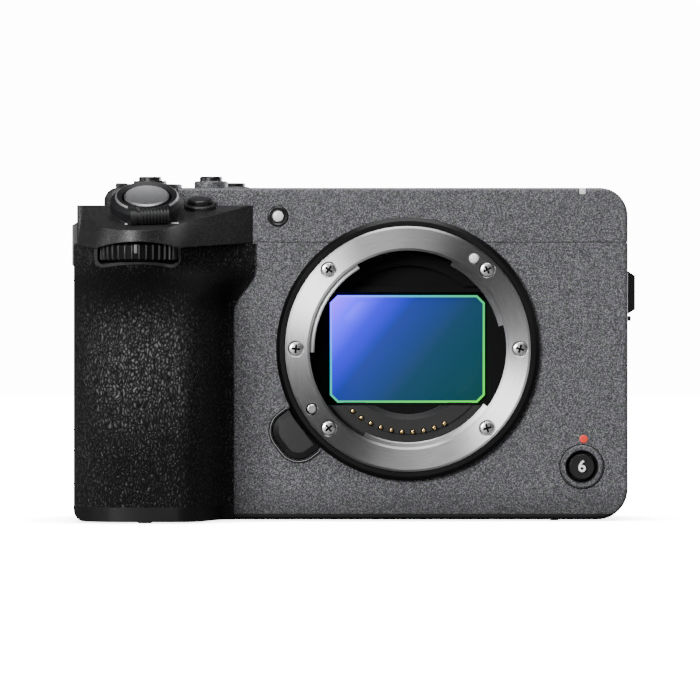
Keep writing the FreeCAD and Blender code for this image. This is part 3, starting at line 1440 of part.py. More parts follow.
def make_joystick():
    # the gimbal ring tilts on trunnions in the well's wall, the cap on its cross pin in the ring
    at = (stick_x, back_y, stick_z)
    low = -stick_pivot_depth - gimbal_h / 2
    high = -stick_pivot_depth + gimbal_h / 2
    pivot_y = back_y - stick_pivot_depth
    ring = placed(turned([(gimbal_inner_r, low), (gimbal_outer_r, low), (gimbal_outer_r, high),
                          (gimbal_inner_r, high)]), at, (0, 1, 0))
    trunnions = []
    for side in (-1, 1):
        inner_x = stick_x + side * (gimbal_inner_r + 0.5)
        outer_x = stick_x + side * (stick_well_r + 0.6)
        trunnions.append(rod(trunnion_r, (inner_x, pivot_y, stick_z), (outer_x, pivot_y, stick_z)))
    bore = rod(stick_pin_r + 0.07, (stick_x, pivot_y, stick_z - 3), (stick_x, pivot_y, stick_z + 3))
    gimbal = joined([ring] + trunnions).cut(bore)
    cap = placed(turned([(0, -stick_pivot_depth - 0.55), (stick_stem_r, -stick_pivot_depth - 0.55),
                         (stick_stem_r, 0.3), (stick_r - 0.3, 0.5), (stick_r, 0.9), (stick_r - 0.2, 1.8),
                         (stick_r - 0.9, stick_show), (0, stick_show - 0.25)]), at, (0, 1, 0))
    pin_reach = gimbal_outer_r - 0.2
    pin = rod(stick_pin_r, (stick_x, pivot_y, stick_z - pin_reach), (stick_x, pivot_y, stick_z + pin_reach))
    return gimbal, joined([cap, pin])


def make_card_door():
    gap = fit_gap
    plate = box(left_x, card_door_front_y + gap, card_door_bottom_z + gap, left_x + card_door_t,
                card_door_hinge_y, card_door_top_z - gap)
    plate = plate.makeFillet(0.5, edges_at(plate, lambda b: b.XMax < left_x + 0.01))
    barrel_x = left_x + card_door_hinge_r
    barrel = rod(card_door_hinge_r, (barrel_x, card_door_hinge_y, card_door_bottom_z + gap),
                 (barrel_x, card_door_hinge_y, card_door_top_z - gap))
    return joined([plate, barrel])


def make_battery_door():
    plate = box(door_left_x, door_front_y, base_z, door_hinge_x, door_back_y, door_top_z)
    barrel_z = base_z + door_hinge_r
    barrel = rod(door_hinge_r, (door_hinge_x, door_front_y, barrel_z), (door_hinge_x, door_back_y, barrel_z))
    x0 = door_left_x + latch_inset
    slot = box(x0 - 0.2, latch_front_y - 0.2, base_z - 1, x0 + latch_l + latch_travel + 0.3,
               latch_front_y + latch_w + 0.2, base_z + latch_t + 0.1)
    return joined([plate, barrel]).cut(slot)


def make_battery_latch():
    x0 = door_left_x + latch_inset
    y0 = latch_front_y
    latch = box(x0, y0, base_z + 0.05, x0 + latch_l, y0 + latch_w, base_z + latch_t + 0.05)
    grooves = []
    for index in range(4):
        x = x0 + 0.8 + index
        grooves.append(box(x, y0 + 1, base_z, x + 0.4, y0 + latch_w - 1, base_z + 0.25))
    return latch.cut(grooves)


def make_battery_pack():
    x0, y0, z0, x1, y1, z1 = battery_box
    pack = box(x0, y0, z0, x1, y1, z1)
    pack = pack.makeFillet(1.5, edges_at(pack, lambda b: b.ZLength > 20))
    contacts = []
    for index in range(5):
        x = x0 + 4 + index * 3.2
        contacts.append(box(x, y0 - 1, z1 - 2.0, x + 1.4, y0 + 6.0, z1 + 1))
    return pack.cut(contacts)


def main():
    os.makedirs("parts", exist_ok=True)
    block = body_block()
    shell = block.cut(body_cavity())
    core, leather = make_grip()
    gimbal, cap = make_joystick()
    nodes = {
        "front_cover": make_front_cover(shell),
        "top_cover": make_top_cover(shell),
        "rear_cover": make_rear_cover(shell),
        "base_plate": make_base_plate(block),
        "grip_core": core,
        "grip_leather": leather,
        "grip_top_cover": make_grip_top_cover(block),
        "inner_chassis": make_chassis(),
        "mount_surround": make_surround(),
        "bayonet_ring": make_bayonet_ring(),
        "mount_screws": make_mount_screws(),
        "contact_block": make_contact_block(),
        "contact_pins": make_contact_pins(),
        "lens_lock_pin": make_lock_pin(),
        "lens_release_button": make_release_button(),
        "shutter_frame": make_shutter_frame(),
        "sensor_glass": make_sensor_glass(),
        "sensor_holder": make_sensor_holder(),
        "stabiliser_carriage": make_carriage(),
        "main_board": make_main_board(),
        "memory_cards": make_memory_cards(),
        "heat_sink": make_heat_sink(),
        "fan_impeller": make_fan(),
        "port_connectors": make_port_connectors(),
        "accessory_shoe": make_accessory_shoe(),
        "strap_lugs": make_strap_lugs(),
        "thread_inserts": make_thread_inserts(),
        "lamp_windows": make_lamp_windows(),
        "case_screws": make_case_screws(),
        "power_switch": make_power_switch(),
        "shutter_button": make_shutter_button(),
        "zoom_lever": make_zoom_lever(),
        "front_dial": make_dial(front_dial_at),
        "rear_dial": make_dial(rear_dial_at),
        "monitor_hinge": make_monitor_hinge(),
        "monitor_shell": make_monitor_shell(),
        "monitor_screen": make_monitor_screen(),
        "control_wheel": make_control_wheel(),
        "centre_button": make_centre_button(),
        "joystick_gimbal": gimbal,
        "joystick_cap": cap,
        "card_door": make_card_door(),
        "battery_door": make_battery_door(),
        "battery_door_latch": make_battery_latch(),
        "battery_pack": make_battery_pack(),
    }
    at, direction = grip_button_place()
    nodes["grip_button"] = placed(button_solid(button_r, button_show, button_travel), at, direction)
    for name, top, collar_radius, collar_z in top_controls():
        show = top[2] - collar_z + 0.1
        nodes[name] = placed(button_solid(button_r, show, button_travel), top, (0, 0, 1))
    x, z = front_record_x, front_record_z
    nodes["front_record_button"] = placed(button_solid(front_record_r, front_record_show, button_travel),
                                          (x, front_y - 0.3, z), (0, -1, 0))
    for name, x, z in rear_buttons:
        button = button_solid(rear_button_r, rear_button_show, button_travel)
        nodes[name] = placed(button, (x, back_y + rear_button_show, z), (0, 1, 0))
    for index, name in enumerate(("shutter_blade_lead", "shutter_blade_middle", "shutter_blade_trail")):
        nodes[name] = make_blade(index)
    for name, low, high in port_covers:
        nodes[name] = make_port_cover(low, high)
    for name, shape in nodes.items():
        shape.exportStep("parts/" + name + ".step")
    print(len(nodes), "nodes")


main()
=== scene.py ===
import bpy, bmesh, math
from mathutils import Euler, Matrix, Vector


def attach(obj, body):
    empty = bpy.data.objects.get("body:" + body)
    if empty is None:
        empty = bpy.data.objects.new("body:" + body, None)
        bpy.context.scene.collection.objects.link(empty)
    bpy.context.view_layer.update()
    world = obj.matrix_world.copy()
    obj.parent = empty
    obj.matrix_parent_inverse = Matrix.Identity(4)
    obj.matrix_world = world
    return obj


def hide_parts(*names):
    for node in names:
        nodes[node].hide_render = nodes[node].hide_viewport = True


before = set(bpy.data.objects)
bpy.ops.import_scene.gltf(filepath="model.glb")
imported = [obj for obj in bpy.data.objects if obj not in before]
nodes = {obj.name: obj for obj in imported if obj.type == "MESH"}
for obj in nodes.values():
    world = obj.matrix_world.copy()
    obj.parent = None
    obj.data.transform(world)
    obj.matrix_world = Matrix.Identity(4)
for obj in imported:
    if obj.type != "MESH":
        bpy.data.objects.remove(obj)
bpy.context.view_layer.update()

mm = 0.001
axisZ = 40.0             # height of the optical axis over the base, mm
sensorHalf = (18.3, 12.7)        # half the sensor glass, across and up, mm
facingFront = (90.0, 0.0, 0.0)
print("frame loaded:", len(nodes), "nodes")


# Camera, floor and light

photo = {
    "eyeX": -13.55, "eyeZ": 39.75,      # mm, level with the middle of the picture
    "eyeDistance": 1650.0,              # mm, from the body's front face
    "bodyFrontY": -19.0,
    "lens": 362.0, "sensorWidth": 36.0, "clipEnd": 20.0,
}
light = {
    "backdrop": 18.0,                   # how bright the white backdrop and floor are to the eye
    "roomLight": 0.07,                  # even light from all round
    "aim": (-0.013, 0, 0.04),           # where the lamps point, in metres
    "floorColour": (0.12, 0.12, 0.12), "floorRoughness": 0.7, "floorSize": 9.0, "floorZ": -0.3,
    "contactShade": 0.25,               # share of the floor's brightness left under the camera
    "shadeReach": 0.02,                 # how far that shade reaches, in metres
    "shadeFrom": 0.4, "shadeSamples": 6,      # openness below which the shade is full
    # name, place in metres, width and height in metres, watts
    "lamps": [
        ("keyLamp", (-0.92, -1.72, 0.60), 0.7, 0.7, 50.0),
        ("frontLamp", (0.05, -1.3, 1.5), 1.0, 0.6, 12.0),
        ("rightLamp", (1.7, -0.1, 0.6), 0.9, 0.9, 2.0),
        ("leftLamp", (-1.7, -0.2, 0.5), 0.9, 0.9, 8.0),
        ("topLamp", (0.0, -0.3, 1.5), 1.0, 0.8, 22.0),
        ("backLamp", (1.3, 1.35, 0.4), 1.0, 1.0, 50.0),
    ],
}


def selectNone():
    if bpy.context.object and bpy.context.object.mode != "OBJECT":
        bpy.ops.object.mode_set(mode="OBJECT")
    bpy.ops.object.select_all(action="DESELECT")


def addCamera():
    data = bpy.data.cameras.new("photoCamera")
    data.lens = photo["lens"]
    data.sensor_width = photo["sensorWidth"]
    data.clip_end = photo["clipEnd"]
    camera = bpy.data.objects.new("photoCamera", data)
    bpy.context.scene.collection.objects.link(camera)
    eyeY = photo["bodyFrontY"] - photo["eyeDistance"]
    camera.location = Vector((photo["eyeX"], eyeY, photo["eyeZ"])) * mm
    camera.rotation_euler = (math.radians(90), 0, 0)
    bpy.context.scene.camera = camera


def addFloor():
    # pale floor: white to the eye, with a painted shadow where something stands on it, clear from
    # below
    selectNone()
    bpy.ops.mesh.primitive_plane_add(size=light["floorSize"], location=(0, 0, light["floorZ"] * mm))
    floor = bpy.context.object
    floor.name = "studioFloor"
    paint = bpy.data.materials.new("paleFloor")
    paint.use_nodes = True
    tree = paint.node_tree
    shader = tree.nodes["Principled BSDF"]
    shader.inputs["Base Color"].default_value = (*light["floorColour"], 1)
    shader.inputs["Roughness"].default_value = light["floorRoughness"]
    # painted shadow: the glow the eye sees dims where the floor is hemmed in
    shade = tree.nodes.new("ShaderNodeAmbientOcclusion")
    shade.samples = light["shadeSamples"]
    shade.inputs["Distance"].default_value = light["shadeReach"]
    depth = tree.nodes.new("ShaderNodeMapRange")
    depth.inputs["From Min"].default_value = light["shadeFrom"]
    depth.inputs["To Min"].default_value = light["backdrop"] * light["contactShade"]
    depth.inputs["To Max"].default_value = light["backdrop"]
    tree.links.new(shade.outputs["AO"], depth.inputs["Value"])
    glow = tree.nodes.new("ShaderNodeEmission")
    tree.links.new(depth.outputs["Result"], glow.inputs["Strength"])
    mix = tree.nodes.new("ShaderNodeMixShader")
    sight = tree.nodes.new("ShaderNodeLightPath")
    tree.links.new(sight.outputs["Is Camera Ray"], mix.inputs["Fac"])
    tree.links.new(shader.outputs[0], mix.inputs[1])
    tree.links.new(glow.outputs[0], mix.inputs[2])
    clear = tree.nodes.new("ShaderNodeBsdfTransparent")
    side = tree.nodes.new("ShaderNodeNewGeometry")
    whole = tree.nodes.new("ShaderNodeMixShader")
    tree.links.new(side.outputs["Backfacing"], whole.inputs["Fac"])
    tree.links.new(mix.outputs[0], whole.inputs[1])
    tree.links.new(clear.outputs[0], whole.inputs[2])
    tree.links.new(whole.outputs[0], tree.nodes["Material Output"].inputs["Surface"])
    floor.data.materials.append(paint)


def addBackdrop():
    world = bpy.data.worlds.new("studioWorld")
    world.use_nodes = True
    tree = world.node_tree
    room = tree.nodes["Background"]
    room.inputs["Color"].default_value = (1, 1, 1, 1)
    room.inputs["Strength"].default_value = light["roomLight"]
    seen = tree.nodes.new("ShaderNodeBackground")
    seen.inputs["Strength"].default_value = light["backdrop"]
    mix = tree.nodes.new("ShaderNodeMixShader")
    sight = tree.nodes.new("ShaderNodeLightPath")
    tree.links.new(sight.outputs["Is Camera Ray"], mix.inputs["Fac"])
    tree.links.new(room.outputs[0], mix.inputs[1])
    tree.links.new(seen.outputs[0], mix.inputs[2])
    tree.links.new(mix.outputs[0], tree.nodes["World Output"].inputs["Surface"])
    bpy.context.scene.world = world


def addLamps():
    for name, place, width, height, watts in light["lamps"]:
        lamp = bpy.data.lights.new(name, "AREA")
        lamp.shape = "RECTANGLE"
        lamp.size = width
        lamp.size_y = height
        lamp.energy = watts
        holder = bpy.data.objects.new(name, lamp)
        holder.location = place
        aim = Vector(light["aim"]) - Vector(place)
        holder.rotation_euler = aim.to_track_quat("-Z", "Y").to_euler()
        bpy.context.scene.collection.objects.link(holder)


addCamera()
addFloor()
addBackdrop()
addLamps()
print("camera, floor and lamps placed")


# Shader groups, each used by several materials

def newGroup(name, inputs, outputs):
    group = bpy.data.node_groups.new(name, "ShaderNodeTree")
    for label, value in inputs:
        socket = group.interface.new_socket(label, in_out="INPUT", socket_type="NodeSocketFloat")
        socket.default_value = value
    for label, kind in outputs:
        group.interface.new_socket(label, in_out="OUTPUT", socket_type=kind)
    entry = group.nodes.new("NodeGroupInput")
    leave = group.nodes.new("NodeGroupOutput")
    return group, entry, leave


def addNoise(tree, scale, detail=2.0, roughness=0.5, vector=None):
    noise = tree.nodes.new("ShaderNodeTexNoise")
    noise.inputs["Scale"].default_value = scale
    noise.inputs["Detail"].default_value = detail
    noise.inputs["Roughness"].default_value = roughness
    if vector:
        tree.links.new(vector, noise.inputs["Vector"])
    return noise


def addMath(tree, operation, first, second=None):
    node = tree.nodes.new("ShaderNodeMath")
    node.operation = operation
    for index, value in enumerate((first, second)):
        if value is None:
            continue
        if isinstance(value, (int, float)):
            node.inputs[index].default_value = value
        else:
            tree.links.new(value, node.inputs[index])
    return node.outputs[0]


def addRange(tree, value, fromLow, fromHigh, toLow=0.0, toHigh=1.0):
    node = tree.nodes.new("ShaderNodeMapRange")
    tree.links.new(value, node.inputs["Value"])
    ends = {"From Min": fromLow, "From Max": fromHigh, "To Min": toLow, "To Max": toHigh}
    for label, number in ends.items():
        if isinstance(number, (int, float)):
            node.inputs[label].default_value = number
        else:
            tree.links.new(number, node.inputs[label])
    return node.outputs["Result"]


def addBump(tree, height, strength, distance, edge=0.0):
    # edge rounds sharp corners to the eye, by its radius in metres
    bump = tree.nodes.new("ShaderNodeBump")
    bump.inputs["Strength"].default_value = strength
    bump.inputs["Distance"].default_value = distance
    tree.links.new(height, bump.inputs["Height"])
    if edge:
        soft = tree.nodes.new("ShaderNodeBevel")
        soft.samples = 4
        soft.inputs["Radius"].default_value = edge
        tree.links.new(soft.outputs["Normal"], bump.inputs["Normal"])
    return bump.outputs["Normal"]


def addMix(tree, share, first, second, blend="MIX"):
    node = tree.nodes.new("ShaderNodeMix")
    node.data_type = "RGBA"
    node.blend_type = blend
    for index, value in ((0, share), (6, first), (7, second)):
        socket = node.inputs[index]
        if isinstance(value, (int, float)):
            socket.default_value = value
        elif isinstance(value, tuple):
            socket.default_value = (*value, 1)
        else:
            tree.links.new(value, socket)
    return node.outputs[2]


def objectPlace(tree):
    return tree.nodes.new("ShaderNodeTexCoord").outputs["Object"]


def splitPlace(tree, place):
    split = tree.nodes.new("ShaderNodeSeparateXYZ")
    tree.links.new(place, split.inputs[0])
    return split.outputs


# speckle: fine grains of a paint or a bead-blasted surface, as a mask, a height and a faint hue
speckleGroup, entry, leave = newGroup(
    "speckle", [("Grain", 4200.0), ("Low", 0.40), ("High", 0.68)],
    [("Mask", "NodeSocketFloat"), ("Height", "NodeSocketFloat"), ("Cast", "NodeSocketFloat")])
place = objectPlace(speckleGroup)
fine = addNoise(speckleGroup, 4200.0, 1.5, 0.6, place)
speckleGroup.links.new(entry.outputs["Grain"], fine.inputs["Scale"])
mask = addRange(speckleGroup, fine.outputs["Fac"], entry.outputs["Low"], entry.outputs["High"])
speckleGroup.links.new(mask, leave.inputs["Mask"])
speckleGroup.links.new(fine.outputs["Fac"], leave.inputs["Height"])
clump = addNoise(speckleGroup, 2600.0, 1.0, 0.5, place)
speckleGroup.links.new(addRange(speckleGroup, clump.outputs["Fac"], 0.35, 0.65), leave.inputs["Cast"])

# mould grain: the even texture of moulded plastic, with slow changes of sheen
mouldGroup, entry, leave = newGroup(
    "mouldGrain", [("Grain", 3000.0)], [("Sheen", "NodeSocketFloat"), ("Height", "NodeSocketFloat")])
place = objectPlace(mouldGroup)
fine = addNoise(mouldGroup, 3000.0, 2.0, 0.6, place)
mouldGroup.links.new(entry.outputs["Grain"], fine.inputs["Scale"])
slow = addNoise(mouldGroup, 60.0, 2.0, 0.5, place)
mouldGroup.links.new(slow.outputs["Fac"], leave.inputs["Sheen"])
mouldGroup.links.new(fine.outputs["Fac"], leave.inputs["Height"])

# turning marks: rings about the optical axis, as left by a lathe
turningGroup, entry, leave = newGroup(
    "turningMarks", [("Centre Z", 0.04), ("Pitch", 9000.0)],
    [("Streak", "NodeSocketFloat"), ("Angle", "NodeSocketFloat")])
place = objectPlace(turningGroup)
spot = splitPlace(turningGroup, place)
up = addMath(turningGroup, "SUBTRACT", spot["Z"], entry.outputs["Centre Z"])
squareX = addMath(turningGroup, "MULTIPLY", spot["X"], spot["X"])
squareZ = addMath(turningGroup, "MULTIPLY", up, up)
radius = addMath(turningGroup, "SQRT", addMath(turningGroup, "ADD", squareX, squareZ))
turn = addMath(turningGroup, "ARCTAN2", up, spot["X"])
# a streak fades slowly along its ring
stretch = addMath(turningGroup, "MULTIPLY", turn, 0.0006)
combine = turningGroup.nodes.new("ShaderNodeCombineXYZ")
turningGroup.links.new(radius, combine.inputs["X"])
turningGroup.links.new(stretch, combine.inputs["Y"])
rings = addNoise(turningGroup, 9000.0, 2.0, 0.7, combine.outputs[0])
turningGroup.links.new(entry.outputs["Pitch"], rings.inputs["Scale"])
turningGroup.links.new(rings.outputs["Fac"], leave.inputs["Streak"])
turningGroup.links.new(turn, leave.inputs["Angle"])


def useGroup(tree, group, **values):
    node = tree.nodes.new("ShaderNodeGroup")
    node.node_tree = group
    for label, value in values.items():
        node.inputs[label].default_value = value
    return node


def newMaterial(name, colour, roughness, metallic=0.0, specular=0.5, coat=0.0):
    material = bpy.data.materials.new(name)
    material.use_nodes = True
    tree = material.node_tree
    shader = tree.nodes["Principled BSDF"]
    shader.inputs["Base Color"].default_value = (*colour, 1)
    shader.inputs["Roughness"].default_value = roughness
    shader.inputs["Metallic"].default_value = metallic
    shader.inputs["Specular IOR Level"].default_value = specular
    shader.inputs["Coat Weight"].default_value = coat
    return material, tree, shader


def addRamp(tree, value, stops):
    ramp = tree.nodes.new("ShaderNodeValToRGB")
    while len(ramp.color_ramp.elements) < len(stops):
        ramp.color_ramp.elements.new(0.5)
    for element, (position, colour) in zip(ramp.color_ramp.elements, stops):
        element.position = position
        element.color = (*colour, 1)
    tree.links.new(value, ramp.inputs["Fac"])
    return ramp.outputs["Color"]


# each "plain" below is a colour, a roughness and, where given, a metallic and a specular level

noiseSpan = (0.3, 0.7)           # the part of a noise's range where most of its values lie
grainDepth = 0.00005             # of the bump of every paint and plastic, metres
plasticSheen = (-0.05, 0.07)     # how far roughness wanders from its own value
metalSheen = (-0.06, 0.08)
metalBump = (0.05, 0.00002)      # strength, and depth in metres

paints = {
    # speckled dark grey: light flecks with a faint green or violet cast
    "bodyPaint": {
        "plain": ((0.1, 0.1, 0.11), 0.5, 0.25, 0.4), "grain": (4600.0, 0.36, 0.68),
        "stops": [(0.0, (0.016, 0.016, 0.018)), (0.5, (0.068, 0.068, 0.073)),
                  (1.0, (0.24, 0.24, 0.25))],
        "casts": [(1.05, 0.93, 1.10), (0.93, 1.05, 0.90)],
        # painted shade: the paint darkens towards the bottom, between these heights, to the colour
        # given
        "lower": (0.008, 0.001), "lowerShade": (0.5, 0.5, 0.5),     # darker between these heights
        "roughness": (0.6, 0.42), "bump": 0.35, "edge": 0.00022,
    },
    # the same grain on black
    "gripPaint": {
        "plain": ((0.015, 0.015, 0.016), 0.45, 0.0, 0.4), "grain": (4600.0, 0.4, 0.7),
        "stops": [(0.0, (0.002, 0.002, 0.002)), (0.55, (0.007, 0.007, 0.0075)),
                  (1.0, (0.072, 0.072, 0.075))],
        "casts": [],
        "roughness": (0.5, 0.34), "bump": 0.6, "edge": 0.00028,
    },
}


def makePaint(name):
    look = paints[name]
    material, tree, shader = newMaterial(name, *look["plain"])
    grain, low, high = look["grain"]
    speckle = useGroup(tree, speckleGroup, Grain=grain, Low=low, High=high)
    colour = addRamp(tree, speckle.outputs["Mask"], look["stops"])
    if look["casts"]:
        tint = addMix(tree, speckle.outputs["Cast"], *look["casts"])
        cast = addMix(tree, 1.0, colour, tint, "MULTIPLY")
        # painted shade: darker towards the bottom of the body
        lower = addRange(tree, splitPlace(tree, objectPlace(tree))["Z"], *look["lower"])
        shade = addMix(tree, lower, (1.0, 1.0, 1.0), look["lowerShade"])
        colour = addMix(tree, 1.0, cast, shade, "MULTIPLY")
    tree.links.new(colour, shader.inputs["Base Color"])
    rough = addRange(tree, speckle.outputs["Mask"], 0.0, 1.0, *look["roughness"])
    tree.links.new(rough, shader.inputs["Roughness"])
    normal = addBump(tree, speckle.outputs["Height"], look["bump"], grainDepth, look["edge"])
    tree.links.new(normal, shader.inputs["Normal"])
    return material


plastics = {
    # colour, roughness, grain, bump, coat weight, specular level, radius of the soft edge in metres
    "blockBlack": ((0.01, 0.01, 0.01), 0.48, 2200.0, 0.2, 0.0, 0.32, 0.0001),
    "satinBlack": ((0.012, 0.012, 0.013), 0.46, 3200.0, 0.5, 0.0, 0.45, 0.00022),
    "shellBlack": ((0.022, 0.022, 0.023), 0.5, 1500.0, 1.0, 0.0, 0.5, 0.0003),
    "baseBlack": ((0.003, 0.003, 0.003), 0.5, 3200.0, 0.3, 0.0, 0.2, 0.00015),
    "glossBlack": ((0.008, 0.008, 0.009), 0.3, 2600.0, 0.06, 0.1, 0.4, 0.00012),
    "leverBlack": ((0.007, 0.007, 0.008), 0.46, 2600.0, 0.1, 0.0, 0.2, 0.0),
    "bezelBlack": ((0.02, 0.02, 0.021), 0.32, 2600.0, 0.05, 0.0, 0.6, 0.0),
    "padGrey": ((0.02, 0.02, 0.0205), 0.6, 2600.0, 1.0, 0.0, 0.3, 0.0),
    "ribHighlightBlack": ((0.03, 0.03, 0.031), 0.36, 2600.0, 0.05, 0.0, 0.45, 0.0),
    "rubberBlack": ((0.012, 0.012, 0.012), 0.62, 2400.0, 0.3, 0.0, 0.4, 0.0),
    "chamberBlack": ((0.0015, 0.0015, 0.0015), 0.6, 2000.0, 0.2, 0.0, 0.1, 0.0),
    "surroundBlack": ((0.002, 0.002, 0.0022), 0.34, 3400.0, 0.1, 0.0, 0.2, 0.00015),
    "lampWhite": ((0.75, 0.75, 0.74), 0.3, 1800.0, 0.05, 0.4, 0.5, 0.0),
    "markWhite": ((0.85, 0.85, 0.85), 0.5, 2600.0, 0.05, 0.0, 0.5, 0.0),
    "markRed": ((0.72, 0.03, 0.01), 0.5, 2600.0, 0.05, 0.0, 0.5, 0.0),
    "indexGrey": ((0.14, 0.14, 0.14), 0.5, 2600.0, 0.05, 0.0, 0.3, 0.0),
    "boardGreen": ((0.02, 0.1, 0.05), 0.4, 900.0, 0.1, 0.0, 0.5, 0.0),
    "screenGlass": ((0.006, 0.006, 0.008), 0.08, 400.0, 0.0, 0.6, 0.5, 0.0),
}


def makePlastic(name, colour, roughness, grain, bump, coat, specular, edge):
    material, tree, shader = newMaterial(name, colour, roughness, coat=coat, specular=specular)
    mould = useGroup(tree, mouldGroup, Grain=grain)
    ends = [roughness + change for change in plasticSheen]
    rough = addRange(tree, mould.outputs["Sheen"], *noiseSpan, *ends)
    tree.links.new(rough, shader.inputs["Roughness"])
    normal = addBump(tree, mould.outputs["Height"], bump, grainDepth, edge)
    tree.links.new(normal, shader.inputs["Normal"])
    return material


leather = {
    # near-black, with fine slanting wrinkles and deep creases between them
    "plain": ((0.003, 0.003, 0.003), 0.42, 0.0, 0.2),
    "slant": 32.0, "squash": 0.5, "cellScale": 1550.0, "creaseEnd": 0.42, "bumpDepth": 0.00016,
    # scale, detail and roughness of the noise that bends the creases and of the pores' own
    "warpNoise": (260.0, 2.5, 0.6), "warp": 0.003, "poreNoise": (3400.0, 2.0, 0.6), "poreShare": 0.22,
    # painted shade in the creases and painted highlight on the crests, from crease to crest
    "grainShading": [(0.1, (0.0004, 0.0004, 0.0004)), (0.5, (0.005, 0.005, 0.005)),
              (1.0, (0.034, 0.034, 0.035))],
    "roughness": (0.1, 0.7, 0.9, 0.36),         # smoother from crease to crest
    # painted highlight: lighter about the crown of the grip and down its outer side
    "paintedHighlight": [(0.08, (0.0004, 0.0004, 0.0004)), (0.4, (0.022, 0.022, 0.022)),
               (1.0, (0.1, 0.1, 0.102))],
    "crown": (-0.062, -0.046, 0.034), "crownReach": (0.019, 0.004),
    "outerReach": (-0.071, -0.0745, 0.0, 0.2),
    # dull, and darker by painted shade, in the hollow under the dial, coming and going between these
    # heights
    "hollowRise": (0.045, 0.054), "hollowFall": (0.0605, 0.0565), "hollowShare": 0.85,
    "hollowShadeColour": (0.0006, 0.0006, 0.0006), "hollowRoughness": 0.8,
}


def makeLeather():
    look = leather
    material, tree, shader = newMaterial("gripLeather", *look["plain"])
    place = objectPlace(tree)
    slant = tree.nodes.new("ShaderNodeMapping")
    slant.inputs["Rotation"].default_value = (0.0, math.radians(look["slant"]), 0.0)
    slant.inputs["Scale"].default_value = (1.0, 1.0, look["squash"])
    tree.links.new(place, slant.inputs["Vector"])
    warp = addNoise(tree, *look["warpNoise"], place)
    shift = tree.nodes.new("ShaderNodeVectorMath")
    shift.operation = "MULTIPLY_ADD"
    tree.links.new(warp.outputs["Color"], shift.inputs[0])
    shift.inputs[1].default_value = (look["warp"], look["warp"], look["warp"])
    tree.links.new(slant.outputs[0], shift.inputs[2])
    cells = tree.nodes.new("ShaderNodeTexVoronoi")
    cells.feature = "DISTANCE_TO_EDGE"
    cells.inputs["Scale"].default_value = look["cellScale"]
    tree.links.new(shift.outputs[0], cells.inputs["Vector"])
    crease = addRange(tree, cells.outputs["Distance"], 0.0, look["creaseEnd"])
    pores = addNoise(tree, *look["poreNoise"], place)
    fine = addMath(tree, "MULTIPLY", pores.outputs["Fac"], look["poreShare"])
    height = addMath(tree, "ADD", crease, fine)

    spot = splitPlace(tree, place)
    # painted shade: darker in the hollow under the dial; the same mask also dulls it
    rise = addRange(tree, spot["Z"], *look["hollowRise"])
    fall = addRange(tree, spot["Z"], *look["hollowFall"])
    both = addMath(tree, "MULTIPLY", rise, fall)
    hollow = addMath(tree, "MULTIPLY", both, look["hollowShare"])
    # painted highlight: lighter about the crown of the grip and down its outer side
    crown = tree.nodes.new("ShaderNodeVectorMath")
    crown.operation = "DISTANCE"
    tree.links.new(place, crown.inputs[0])
    crown.inputs[1].default_value = look["crown"]
    outer = addRange(tree, spot["X"], *look["outerReach"])
    top = addRange(tree, crown.outputs["Value"], *look["crownReach"])
    highlightMask = addMath(tree, "MAXIMUM", top, outer)

    # painted shade in the creases and painted highlight on the crests
    grainShading = addRamp(tree, crease, look["grainShading"])
    paintedHighlight = addRamp(tree, crease, look["paintedHighlight"])
    colour = addMix(tree, highlightMask, grainShading, paintedHighlight)
    colour = addMix(tree, hollow, colour, look["hollowShadeColour"])
    tree.links.new(colour, shader.inputs["Base Color"])
    polished = addRange(tree, crease, *look["roughness"])
    dull = addMath(tree, "MULTIPLY", hollow, look["hollowRoughness"])
    rough = addMath(tree, "MINIMUM", addMath(tree, "ADD", polished, dull), 1.0)
    tree.links.new(rough, shader.inputs["Roughness"])
    tree.links.new(addBump(tree, height, 1.0, look["bumpDepth"]), shader.inputs["Normal"])
    return material


mountLook = {
    # stainless steel, finely turned, so its glints run across the marks
    "plain": ((0.74, 0.74, 0.75), 0.5, 1.0), "roughness": (0.38, 0.5), "anisotropic": 0.93,
    "streaks": [(0.3, (0.62, 0.62, 0.62)), (0.7, (0.88, 0.88, 0.88))],
    # painted highlight: the angle of its brightest lobes, and how its colour darkens away from them
    "lobeAngle": 148.0, "lobePower": 2.0, "paintedLobes": [(0.0, (0.3, 0.3, 0.3)), (1.0, (1.0, 1.0, 1.0))],
}


def makeMountSteel():
    look = mountLook
    material, tree, shader = newMaterial("mountSteel", *look["plain"])
    marks = useGroup(tree, turningGroup)
    rough = addRange(tree, marks.outputs["Streak"], *noiseSpan, *look["roughness"])
    tree.links.new(rough, shader.inputs["Roughness"])
    colour = addRamp(tree, marks.outputs["Streak"], look["streaks"])
    # painted highlight: the colour is lightest in two lobes across the ring and darker away from them
    fromLobe = addMath(tree, "SUBTRACT", marks.outputs["Angle"], math.radians(look["lobeAngle"]))
    lean = addMath(tree, "ABSOLUTE", addMath(tree, "COSINE", fromLobe))
    shade = addRamp(tree, addMath(tree, "POWER", lean, look["lobePower"]), look["paintedLobes"])
    tree.links.new(addMix(tree, 1.0, colour, shade, "MULTIPLY"), shader.inputs["Base Color"])
    shader.inputs["Anisotropic"].default_value = look["anisotropic"]
    across = tree.nodes.new("ShaderNodeTangent")
    across.direction_type = "UV_MAP"
    across.uv_map = "acrossMarks"
    tree.links.new(across.outputs[0], shader.inputs["Tangent"])
    return material


metals = {
    # colour, roughness, grain
    "screwSteel": ((0.72, 0.72, 0.73), 0.26, 9000.0),
    "rimHighlightSteel": ((0.33, 0.33, 0.335), 0.5, 2500.0),
    "insertSteel": ((0.3, 0.3, 0.305), 0.5, 2500.0),
    "lugSteel": ((0.07, 0.07, 0.072), 0.42, 2500.0),
    "darkSteel": ((0.09, 0.09, 0.095), 0.4, 2500.0),
    "castAlloy": ((0.32, 0.32, 0.33), 0.5, 1200.0),
    "goldContact": ((0.83, 0.58, 0.24), 0.22, 2500.0),
    "buttonGrey": ((0.3, 0.3, 0.31), 0.42, 2500.0),
}


